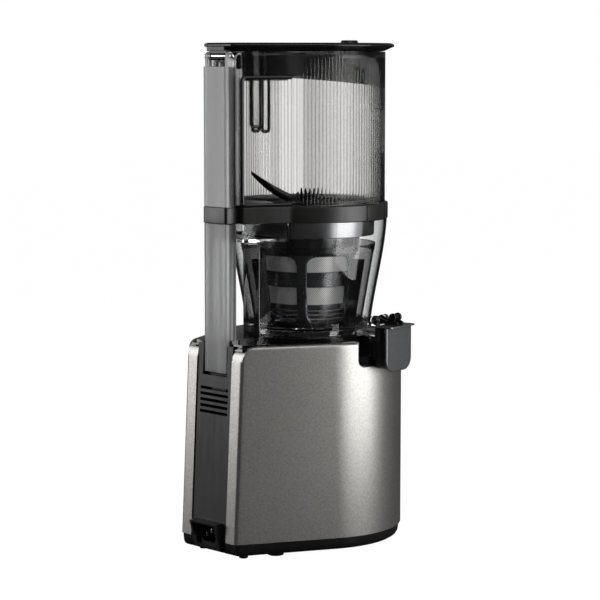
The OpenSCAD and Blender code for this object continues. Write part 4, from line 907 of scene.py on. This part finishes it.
# Fluted wall: between ridges the radius falls by depth (1 - |sin p|), where p grows by half a turn
# per flute, and the neck stays smooth. The flutes fade out beside it
def makeHopper():
    h, n = hopper, neck
    low, rim, wall = h["low"], h["rim"], h["wall"]
    pitch, perFlute = 360 / h["flutes"], h["perFlute"]
    flutes = int((360 - 2 * n["turn"]) / pitch)
    a = np.linspace(90 + n["turn"], 450 - n["turn"], flutes * perFlute + 1)
    count = len(a)
    wave = np.abs(np.sin(np.pi * np.arange(count) / perFlute))
    beside = np.minimum(a - a[0], a[-1] - a)
    fade = np.clip((beside - h["smoothTurn"]) / (1.5 * pitch), 0, 1)
    outerR = h["radius"] - h["depth"] * (1 - wave) * fade
    innerR, smoothR = np.full(count, h["radius"] - wall), np.full(count, h["radius"])

    def ringAt(radii, inset, z):
        front = polar(radii, np.radians(a))
        half, y, r = n["half"] - inset, n["y"] - inset, max(0.6, n["corner"] - inset)
        tail = refine(roundLine(front[-1], (half, y, r), (-half, y, r), front[0]), 3.0)[1:]
        steps = np.linspace(0, len(tail) - 1, 60)        # each level has as many points
        lower = np.floor(steps).astype(int)
        upper = np.minimum(lower + 1, len(tail) - 1)
        tail = tail[lower] + (tail[upper] - tail[lower]) * (steps - lower)[:, None]
        return lift(np.concatenate([front, tail]), z)

    outside = (low, low + 3, *np.linspace(low + 20, rim - 20, 6), rim - 6.2)
    levels = [(outerR, 0.0, z) for z in outside]
    levels += [(smoothR, 0.0, rim - 5.4), (smoothR, 0.0, rim - 0.5), (smoothR - 0.5, 0.5, rim),
               (innerR + 0.5, wall - 0.5, rim)]
    levels += [(innerR, wall, z) for z in (rim - 0.5, rim - 60, low + 40, low)]
    grid = [ringAt(*level) for level in levels]
    grid = np.array(grid + grid[:1])
    # painted shade: the clear wall is painted darkest in the neck, darker in a soft band beside it
    # and in the valleys between ridges, and painted lighter in a band further round, a painted
    # highlight
    shade = np.full(grid.shape[:2], h["paintedNeckShade"])
    shade[:, :count] = h["paintedWallShade"] + sum(deep * np.exp(-((a - turn) / h["bandTurn"])**2)
                                            for turn, deep in h["bands"])
    shade[:len(outside), :count] += (h["paintedValleyShade"] * ((1 - wave) * fade)**1.4)[None]
    shade[:, :count][:, fade < 0.99] = 0.0
    shade[:, count:count + 4] = shade[:, -5:] = 0.0
    makePiece("flutedHopper", [grid], "hopperSmoke", "hopper", stands="hopper_shell", slot="smoked",
              angle=50, flute=shade)


trim = dict(barR=1.9, sink=0.8, foot=1.6, drop=24.5, corner=3.5, beadR=2.3, bead=(19.4, 110.1),
            sheet=0.9, sheetDrop=27.5, sheetIn=2.9)


# Trim of the neck: a raised dark frame round the clear window on each side, a pale frosted bead up
# each rear corner beside the column, whose paleness is a painted highlight, and a dark lining
# behind the upper part, level with the lid's skirt
def makeNeckTrim():
    h, t, rear = hopper, trim, np.array([-neck["half"], neck["y"]])
    front = arc((0, 0), h["radius"], 90 + neck["turn"], 90, 2)[0]
    reach, along = np.linalg.norm(front - rear), unit(front - rear)
    inward = np.array([along[1], -along[0]])
    inward *= np.sign(inward[0])
    far, low, high = reach - 1.0, h["low"] + t["foot"], h["rim"] - t["drop"]
    bar = refine(roundLine((far, low), (-0.2, low, t["corner"]), (-0.2, high, t["corner"]),
                           (far, high)), 5.0)
    bar = np.column_stack([rear + along * bar[:, :1] + inward * t["sink"], bar[:, 1]])
    makePiece("neckFrames", [tube(bar * (side, 1, 1), t["barR"]) for side in (1, -1)],
              "glossBlack", "hopper", slot="smoked", angle=60)
    heights = (h["low"] + 2.0, h["low"] + 60, h["rim"] - 24)
    bead = refine([(*t["bead"], z) for z in heights], 12.0)
    makePiece("neckBeads", [tube(bead * (side, 1, 1), t["beadR"], 24) for side in (-1, 1)],
              "paleBeadHighlight", "hopper", slot="smoked", angle=60)
    sidePanels("neckLining", rear + along * 3.2 + inward * t["sheetIn"],
               rear + along * (reach - 4.5) + inward * t["sheetIn"], t["sheet"], 0, 4.0,
               (h["rim"] - t["sheetDrop"], h["rim"] - 14, h["rim"] - 0.6), "skirtSmoke", "hopper")


# Dark ring under the hopper: the keyhole joined with the column's foot, edges rolled, with a
# narrow slit down its side for its seam
def makeRing():
    r, n = ringPiece, neck
    slit = r["slitTurn"]
    turns = np.sort(np.concatenate([np.linspace(90 + n["turn"], 450 - n["turn"], 220),
                                    slit + np.array([-0.45, -0.4, -0.3, 0.3, 0.4, 0.45])]))
    radius = r["radius"] - r["slitDepth"] * (np.abs(turns - slit) < 0.42)
    front = polar(radius, np.radians(turns))
    half, wide, y0, y1 = r["tailHalf"], n["half"], n["y"], r["tailY"]
    tail = roundLine(front[-1], (wide, y0, 2.0), (half, y0, 0.8), (half, y1, 2.6), (-half, y1, 2.6),
                     (-half, y0, 0.8), (-wide, y0, 2.0), front[0], steps=5)
    outline = np.concatenate([front, refine(tail, 3.0)[1:]])
    outline[-1] = outline[0]
    band = carry(outline, roundLine((-3.0, r["low"]), (0, r["low"], 0.9), (0, r["top"], 1.2),
                                    (-3.0, r["top"]), steps=5))
    start, bore = 90 + n["turn"], hopper["openR"]
    inner = revolve([(bore, r["top"]), (bore, r["low"])], len(outline) - 1, start, start + 360)
    above, under = np.stack([band[-1], inner[0]]), np.stack([inner[1], band[0]])
    makePiece("hopperRing", [band, above, inner, under], "ringGray", "hopper",
              stands="hopper_ring", slot="charcoal", angle=35)
    # smooth collar under the ring, inside the drum's rim
    low, high = r["collarLow"], r["low"] + 0.3
    collar = roundRing((bore + 0.4, low), (bore + 2.2, low, 0.6), (bore + 3.0, high, 0.2),
                       (bore + 0.4, high, 0.2), steps=4)
    makePiece("ringCollar", [revolve(collar, 120)], "collarSatin", "hopper", slot="smoked",
              angle=40)


lid = dict(radius=84.6, rim=484.5, thick=8.2, hingeY=116.0, hingeZ=479.9, tailR=4.0, tailX=18.0,
           lugR=4.0, lugHalf=1.9, clipR=4.0, clipBore=2.1, clipHalf=12.2)
nub = dict(y=-57, footR=9, topR=8, height=3)
pin = dict(radius=1.6, ball=2.6, past=1.9)


# Two rounded lugs that carry the hinge pin above the column
def makeLugs():
    y, z, r, foot = lid["hingeY"], lid["hingeZ"], lid["lugR"], column["upperTop"] - 1.4
    shape = refine(np.concatenate([[(y + r, foot)], arc((y, z), r, 0, 180, 20),
                                   [(y - r, foot), (y + r, foot)]]), 2.0)
    slabs = [extrude(shape, side * (column["half"] - 2) + lid["lugHalf"] * np.array([-1, 0, 1]), 0)
             for side in (-1, 1)]
    makePiece("hingeLugs", slabs, "columnSmoke", "hopper", slot="smoked_frosted", caps=ends(*slabs),
              angle=40, bevel=0.5, bevelSteps=3)


makeHopper()
makeNeckTrim()
dressNode("hopper_floor", "hopperFloor", "skirtSmoke", "hopper", slot="smoked", bevel=0.5)
makeRing()
makeLugs()
makeColumn("upperColumn", "hopper_column", "hopper", column["upperLow"], column["upperTop"],
           "columnSmoke", "smoked_frosted", closedBelow=False)
print("hopper built")


# Lid: a pear outline, a large circle joined by tangents to two small ones behind it
def makeLid():
    small, x, y, z = lid["tailR"], lid["tailX"], lid["hingeY"] - 2, lid["rim"]
    turn, top = tangentTurn(x, y, lid["radius"] - small), z + lid["thick"]
    front = arc((0, 0), lid["radius"], 180 - turn, 360 + turn, 180)
    right = arc((x, y), small, turn, 90, 14)
    plate = refine(np.concatenate([front, right, right[::-1] * mirror, front[:1]]), 4.0)
    profile = roundLine((-60, top), (-3.0, top - 0.2, 4), (0, top - 1.6, 1.0), (0, top - 3.6, 0.8),
                        (-2.6, top - 4.6, 1.0), (-9.5, z + 0.4, 1.5), (-12, z), steps=5)[::-1]
    side = carry(plate, profile[profile[:, 0] > -13])
    makePiece("lidPlate", [side], "lidBlack", "lid", stands="lid", slot="charcoal",
              caps=ends(side), angle=35)


skirt = dict(radius=70.9, wall=2.5, gapHalf=9.4, depth=38.5, climb=5.6)


# Skirt inside the hopper, whose lower edge climbs towards the rear
def makeSkirt():
    r, top = skirt["radius"], lid["rim"] - 0.02
    gap = math.asin(skirt["gapHalf"] / r)
    turn = np.linspace(math.pi / 2 + gap, 2.5 * math.pi - gap, 161)
    low = top - skirt["depth"] + (r * np.sin(turn) + r) * math.tan(math.radians(skirt["climb"]))
    z = low + (top - low) * np.array([0, 0.02, 0.5, 1.0])[:, None]
    outer = polar(r, turn, z)
    inner = outer[::-1] * np.array([(r - skirt["wall"]) / r] * 2 + [1])
    band = np.concatenate([outer, inner, outer[:1]])
    makePiece("lidSkirt", [band], "skirtSmoke", "lid", stands="lid_skirt", slot="smoked",
              caps=[band[:, 0][::-1], band[:, -1]], angle=35)


guard = dict(half=8.7, rear=71.7, front=57.9, depth=78.5, edge=1.7, pane=0.5)


# Guard: a clear channel that hangs from the lid into the mouth of the neck, with dark rolled edges
def makeGuard():
    g, top = guard, lid["rim"] - 0.02
    low, edge, pane = top - g["depth"], g["edge"], g["pane"]
    x, rear, front = g["half"] - edge, g["rear"] - edge, g["front"] + edge
    bars = []
    # a bar down, across and up again, in the plane where x (axis 0) or y (axis 1) stays the same
    for a, b, foot, axis, still in ((-x, x, low + 6, 1, rear),
                                    (front, rear - 1.9, low + edge, 0, -x),
                                    (front, rear - 1.9, low + edge, 0, x)):
        flat = roundLine((a, top - 1), (a, foot, 2.6), (b, foot, 2.6), (b, top - 1), steps=5)
        bars.append(tube(lift(refine(flat, 4.0), still, axis), edge, 12))
    makePiece("guardEdges", bars, "glossBlack", "lid", angle=50)
    walls = []
    for x0, x1, y0, y1, foot in ((-x + 1, x - 1, rear - pane, rear + pane, low + 6.5),
                                 (-x - pane, -x + pane, front + 0.6, rear - 2.4, low + 1.4),
                                 (x - pane, x + pane, front + 0.6, rear - 2.4, low + 1.4)):
        ring = roundRing((x1, y0, 0.3), (x1, y1, 0.3), (x0, y1, 0.3), (x0, y0, 0.3), steps=3)
        walls.append(carry(ring, roundLine((-0.3, foot), (0, foot, 0.2), (0, top - 0.6, 0.2),
                                           (-0.3, top - 0.6), steps=2)))
    makePiece("guardPanes", walls, "hopperSmoke", "lid", stands="lid_guard", slot="smoked",
              caps=ends(*walls), angle=40)


# Knuckle under the lid: a clip round the hinge pin, open to the rear, the web that carries it, and
# a block over the lugs
def makeKnuckle():
    y, z, rim, wide = lid["hingeY"], lid["hingeZ"], lid["rim"], lid["clipHalf"]
    outside, inside = (arc((y, z), r, 78, 322, 34) for r in (lid["clipR"], lid["clipBore"]))
    clip = np.concatenate([outside, inside[::-1], outside[:1]])
    web = roundRing((y - 4, z + 1, 0.4), (y + 1.6, z + 2.4, 0.4), (y + 1.6, rim + 0.6, 0.4),
                    (y - 4, rim + 0.6, 0.4), steps=3)
    foot, head = rim + 0.05, rim + 4.45
    block = roundRing((y + 1.7, foot, 0.8), (y + 1.7, head, 0.4), (y - 9, head, 0.4),
                      (y - 9, foot, 0.8), steps=4)
    slabs = [extrude(shape, np.linspace(x0, x1, 7), 0)
             for shape, x0, x1 in ((clip, -wide, wide), (web, -wide, wide), (block, -8.5, 16.4))]
    makePiece("lidKnuckle", slabs, "lidBlack", "lid", caps=ends(*slabs), angle=40, bevel=0.25)


def makeNub():
    low = lid["rim"] + lid["thick"]
    top = low + nub["height"]
    profile = roundLine((0, low), (nub["footR"], low, 0.3), (nub["topR"], top, 1.2), (0, top),
                        steps=5)
    makePiece("lidNub", [placed(revolve(profile, 48), move=(0, nub["y"], 0))], "lidBlack", "lid",
              stands="lid_nub")


# Hinge pin with a ball at each end
def makePin():
    end, ball, thin = column["half"] + pin["past"], pin["ball"], pin["radius"]
    dome = [arc((0, x), ball, -90, 90, 14) for x in (-end, end)]
    profile = np.concatenate([[(0, -end - ball)], dome[0][1:-3],
                              [(thin, -end + 2.4), (thin, end - 2.4)], dome[1][2:],
                              [(0, end + ball)]])
    rod = placed(revolve(profile, 40), order=(2, 0, 1), move=(0, lid["hingeY"], lid["hingeZ"]))
    makePiece("hingePin", [rod], "chrome", "hopper", stands="lid_hinge_pin", angle=40)


for make in (makeLid, makeSkirt, makeGuard, makeKnuckle, makeNub, makePin):
    make()
print("lid built")

cap = dict(half=21.0, height=41.0, corner=11, depth=13.2, x=93.5, top=219.8, plate=2.4, lip=5,
           hingeX=85.4, hingeZ=224.7, knobX=19.0, knobZ=4.2)


# Outline of the cap seen from outside: square above, round at its lower corners
def capFace(half, height, corner):
    return refine(roundRing((half, 0, 0.6), (-half, 0, 0.6), (-half, -height, corner),
                            (half, -height, corner), steps=12), 1.5)


# Stands a grid up at the spout: x across it, y up, z outwards
def atSpout(grid, x, z):
    return turned(placed(grid, order=(2, 0, 1), move=(x, 0, z)), base["spoutTurn"])


def makeCap():
    c = cap
    profile = roundLine((-2.5, 0), (0, 0, 2.0), (0, c["depth"]))
    profile = np.concatenate([profile, [(-2.0, c["depth"]), (-2.0, 3.0)]])
    side = atSpout(carry(capFace(c["half"], c["height"], c["corner"]), profile), c["x"], c["top"])
    makePiece("capCup", [side], "glossBlack", "juice_cap", stands="juice_cap_cup",
              slot="black_gloss", caps=ends(side), angle=35)
    front = c["x"] + c["depth"]
    profile = roundLine((-3, 0), (0, 0, 0.5), (0, c["plate"], 0.9), (-1.5, c["plate"]), steps=4)
    face = carry(capFace(c["half"] + 0.5, c["height"] + 3, c["corner"] + 1), profile)
    face = atSpout(face, front + 0.02, c["top"] + 1)
    makePiece("capFront", [face], "capPaint", "juice_cap", stands="juice_cap_plate",
              slot="cap_gray", caps=ends(face), angle=35)
    # the thin top plate with its lip that reaches past the front
    far, wide, low = front + c["plate"] + c["lip"], c["half"] + 0.5, c["top"] + 0.02
    lip = roundRing((c["x"], -wide, 1), (far, -wide, 3), (far, wide, 3), (c["x"], wide, 1))
    profile = roundLine((-1, low), (0, low, 0.4), (0, low + 1.6, 0.5), (-1, low + 1.6), steps=3)
    edge = turned(carry(lip, profile), base["spoutTurn"])
    makePiece("capTop", [edge], "capPaint", "juice_cap", caps=ends(edge), angle=35)


lever = dict(backR=4.6, curlR=4.0, cheeks=((-5.6, -2.9), (2.9, 5.6)), half=3.4, sleeveR=3.4,
             boreR=1.9, barR=2.7)


# Lever of the cap: two cheeks shaped like a hook, joined by the hinge sleeve and a finger bar
def makeLever():
    hinge = np.array([cap["hingeX"], cap["hingeZ"]])
    knob = hinge + [cap["knobX"], cap["knobZ"]]
    under = hinge + [(8, -2.6), (12, -3.2), (24.5, -3.2), (25.6, -1.8), (25.0, -0.2)]
    saddle = hinge + [(13.6, 0.9), (9.5, 1.2), (5.6, 2.6)]
    back = arc(hinge, lever["backR"], 70, 292, 22)
    curl = arc(knob, lever["curlR"], -48, 196, 26)
    outline = refine(np.concatenate([back, under, curl, saddle, back[:1]]), 1.2)
    cheeks = [turned(extrude(outline, pair, 1), base["spoutTurn"]) for pair in lever["cheeks"]]
    half, outer, bore, thick = (lever[key] for key in ("half", "sleeveR", "boreR", "barR"))
    sleeve = [(bore, -half), (outer, -half), (outer, half), (bore, half), (bore, -half)]
    bar = [(0.0, -half), (thick, -half), (thick, half), (0.0, half)]
    joints = [turned(placed(revolve(section, 32), order=(0, 2, 1), move=(spot[0], 0, spot[1])),
                     base["spoutTurn"]) for section, spot in ((sleeve, hinge), (bar, knob))]
    makePiece("capLever", cheeks + joints, "glossBlack", "juice_cap", stands="cap_lever",
              slot="black_gloss", caps=ends(*cheeks), angle=40, bevel=0.5, bevelSteps=3)


makeCap()
makeLever()
dressNode("juice_cap_seal", "capSeal", "silicone", "juice_cap", bevel=0.1)
dressNode("pulp_plug", "pulpPlug", "silicone", "pulp_plug", bevel=0.8, bevelSteps=3)

spring = dict(turns=9, low=182.2, high=212.2, radius=2.2, wire=0.4, y=114.4)


# Coil spring round the lower rod: a wire carried along a helix
def makeSpring():
    s = spring
    t = np.linspace(0, 1, s["turns"] * 24 + 1)
    angle = 2 * np.pi * s["turns"] * t
    path = polar(s["radius"], angle, s["low"] + (s["high"] - s["low"]) * t) + (0, s["y"], 0)
    coil = makePiece("coilSpring", [tube(path, s["wire"], 8)], "steel", "drum",
                     stands="rod_spring", angle=60)
    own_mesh(coil)


dial = dict(radius=17.0, ribs=48, ribDepth=0.35, back=93.2, height=118.0, stemR=3, stem=13,
            rows=((0, 0), (1, 0), (1, 0.6), (1, 8.4), (0.99, 9.6), (0.94, 10.7), (0.86, 11),
                  (0, 11)))        # part of the radius, height


# Control dial: a grip whose radius follows the cosine of its ribs, a soft rim and a pointer
def makeDial():
    d, z = dial, dial["back"]
    t = np.linspace(0, 2 * np.pi, 241)
    grip = d["radius"] - d["ribDepth"] * (0.5 - 0.5 * np.cos(t * d["ribs"]))
    knob = np.array([polar(grip * part, t, z + up) for part, up in d["rows"]])
    stem = revolve([(0, z - d["stem"]), (d["stemR"], z - d["stem"]), (d["stemR"], z), (0, z)], 24)
    bar = roundRing((-1.2, 3.0, 0.8), (1.2, 3.0, 0.8), (1.2, 14.0, 0.8), (-1.2, 14.0, 0.8), steps=4)
    mark = carry(bar, [(0, z + 10.8), (0, z + 11.5), (-0.3, z + 11.8)])
    parts = [placed(part, order=(0, 2, 1), flip=(1, -1, 1), move=(0, 0, d["height"]))
             for part in (knob, stem, mark)]
    makePiece("controlKnob", parts, "satinBlack", "dial", stands="control_dial",
              caps=ends(parts[2]), angle=35)


makeSpring()
makeDial()

# Looks of the nodes that keep their own shape
nodeLooks = {
    "iron": ("stator_core", "rotor_core"), "copper": ("stator_winding",),
    "bronze": ("gearbox_bushes",), "gearPlastic": ("idler_gear",),
    "alloy": ("motor_end_bells", "gearbox_housing", "gearbox_cover"),
    "steel": ("motor_bearings", "motor_shaft", "idler_shaft", "output_gear", "output_shaft",
              "gearbox_screws", "lower_rod", "upper_rod"),
    "motorBlack": ("cooling_fan", "dial_switch", "interlock_switch"),
    "footRubber": ("motor_posts",), "boardGreen": ("control_board",), "silicone": ("drum_seal",),
    "chrome": ("cap_hinge_pin",),
}
for look, names in nodeLooks.items():
    for name in names:
        nodes[name].data.materials.clear()
        nodes[name].data.materials.append(looks[look])
print("cap, spring, dial and node looks done")

studio = dict(paper=0.08, paperDark=0.985, glow=0.985, dim=0.10, floorR=9.0, lens=127.3,
              sensor=36.0, camera=(-1.523, 1.446, 0.476), aim=(0.0058, 0.0055, 0.2385))


# 1 for a ray that has met nothing but clear walls on its way, so what is behind shows white through
# them, while mirrored and scattered light comes from a darker room
def straightRay(tree):
    path = addNode(tree, "LightPath").outputs
    seen = calc(tree, "MAXIMUM", path["Is Camera Ray"], path["Is Transmission Ray"])
    bounced = calc(tree, "ADD", path["Glossy Depth"], path["Diffuse Depth"])
    return calc(tree, "SUBTRACT", seen, bounced, clamp=True)


# Pale round floor. It is lit on its own, so it looks white but lends the object little light
def makeFloor():
    mesh = bpy.data.meshes.new("studioFloor")
    ring = lift(arc((0, 0), studio["floorR"], 0, 360, 97)[:-1], 0)
    mesh.from_pydata(ring.tolist(), [], [list(range(96))])
    floor = bpy.data.objects.new("studioFloor", mesh)
    scene.collection.objects.link(floor)
    tree, shader, place = newLook("floorPaper")
    texture = useGroup(tree, mouldedGrain, place, Scale=300.0)
    white = studio["paper"]
    finishLook(tree, shader, {
        "Base Color": mixTones(tree, texture["Tone"], white * studio["paperDark"], white),
        "Roughness": 0.9, "Specular IOR Level": 0.1, "Emission Color": (1, 1, 1, 1),
        "Emission Strength": calc(tree, "MULTIPLY", straightRay(tree), studio["glow"])})
    mesh.materials.append(looks["floorPaper"])


# The room: white where the camera or clear plastic looks at it, dimmer as a light
def makeRoom():
    world = scene.world = bpy.data.worlds.new("studioRoom")
    world.use_nodes = True
    tree = world.node_tree
    tree.nodes.clear()
    strength = calc(tree, "MAXIMUM", straightRay(tree), studio["dim"])
    sky = addNode(tree, "Background", (1, 1, 1, 1), strength)
    addNode(tree, "OutputWorld", sky.outputs[0])


def lookAt(thing, place, target):
    thing.location = place
    thing.rotation_euler = (Vector(target) - thing.location).to_track_quat("-Z", "Y").to_euler()


# A soft box: an area light that stands at an angle round the object and looks at it
def softBox(name, angle, distance, height, width, tall, power, aim=0.25):
    light = bpy.data.lights.new(name, "AREA")
    light.shape, light.size, light.size_y, light.energy = "RECTANGLE", width, tall, power
    lamp = bpy.data.objects.new(name, light)
    scene.collection.objects.link(lamp)
    lamp.visible_camera = False
    lookAt(lamp, (*arc((0, 0), distance, angle, angle, 1)[0], height), (0, 0, aim))


def makeCamera():
    camera = bpy.data.cameras.new("camera")
    camera.lens, camera.sensor_width = studio["lens"], studio["sensor"]
    camera.clip_start, camera.clip_end = 0.05, 60
    scene.camera = bpy.data.objects.new("camera", camera)
    scene.collection.objects.link(scene.camera)
    lookAt(scene.camera, studio["camera"], studio["aim"])


makeFloor()
makeRoom()
softBox("keyBox", 199, 0.6, 0.27, 0.46, 0.50, 3.0, 0.2)
softBox("rearBox", 44, 1.4, 0.5, 0.6, 1.0, 7)
softBox("topBox", 160, 0.5, 0.78, 0.5, 0.4, 1.0)
makeCamera()
scene.view_settings.view_transform = "Standard"
print("studio built")
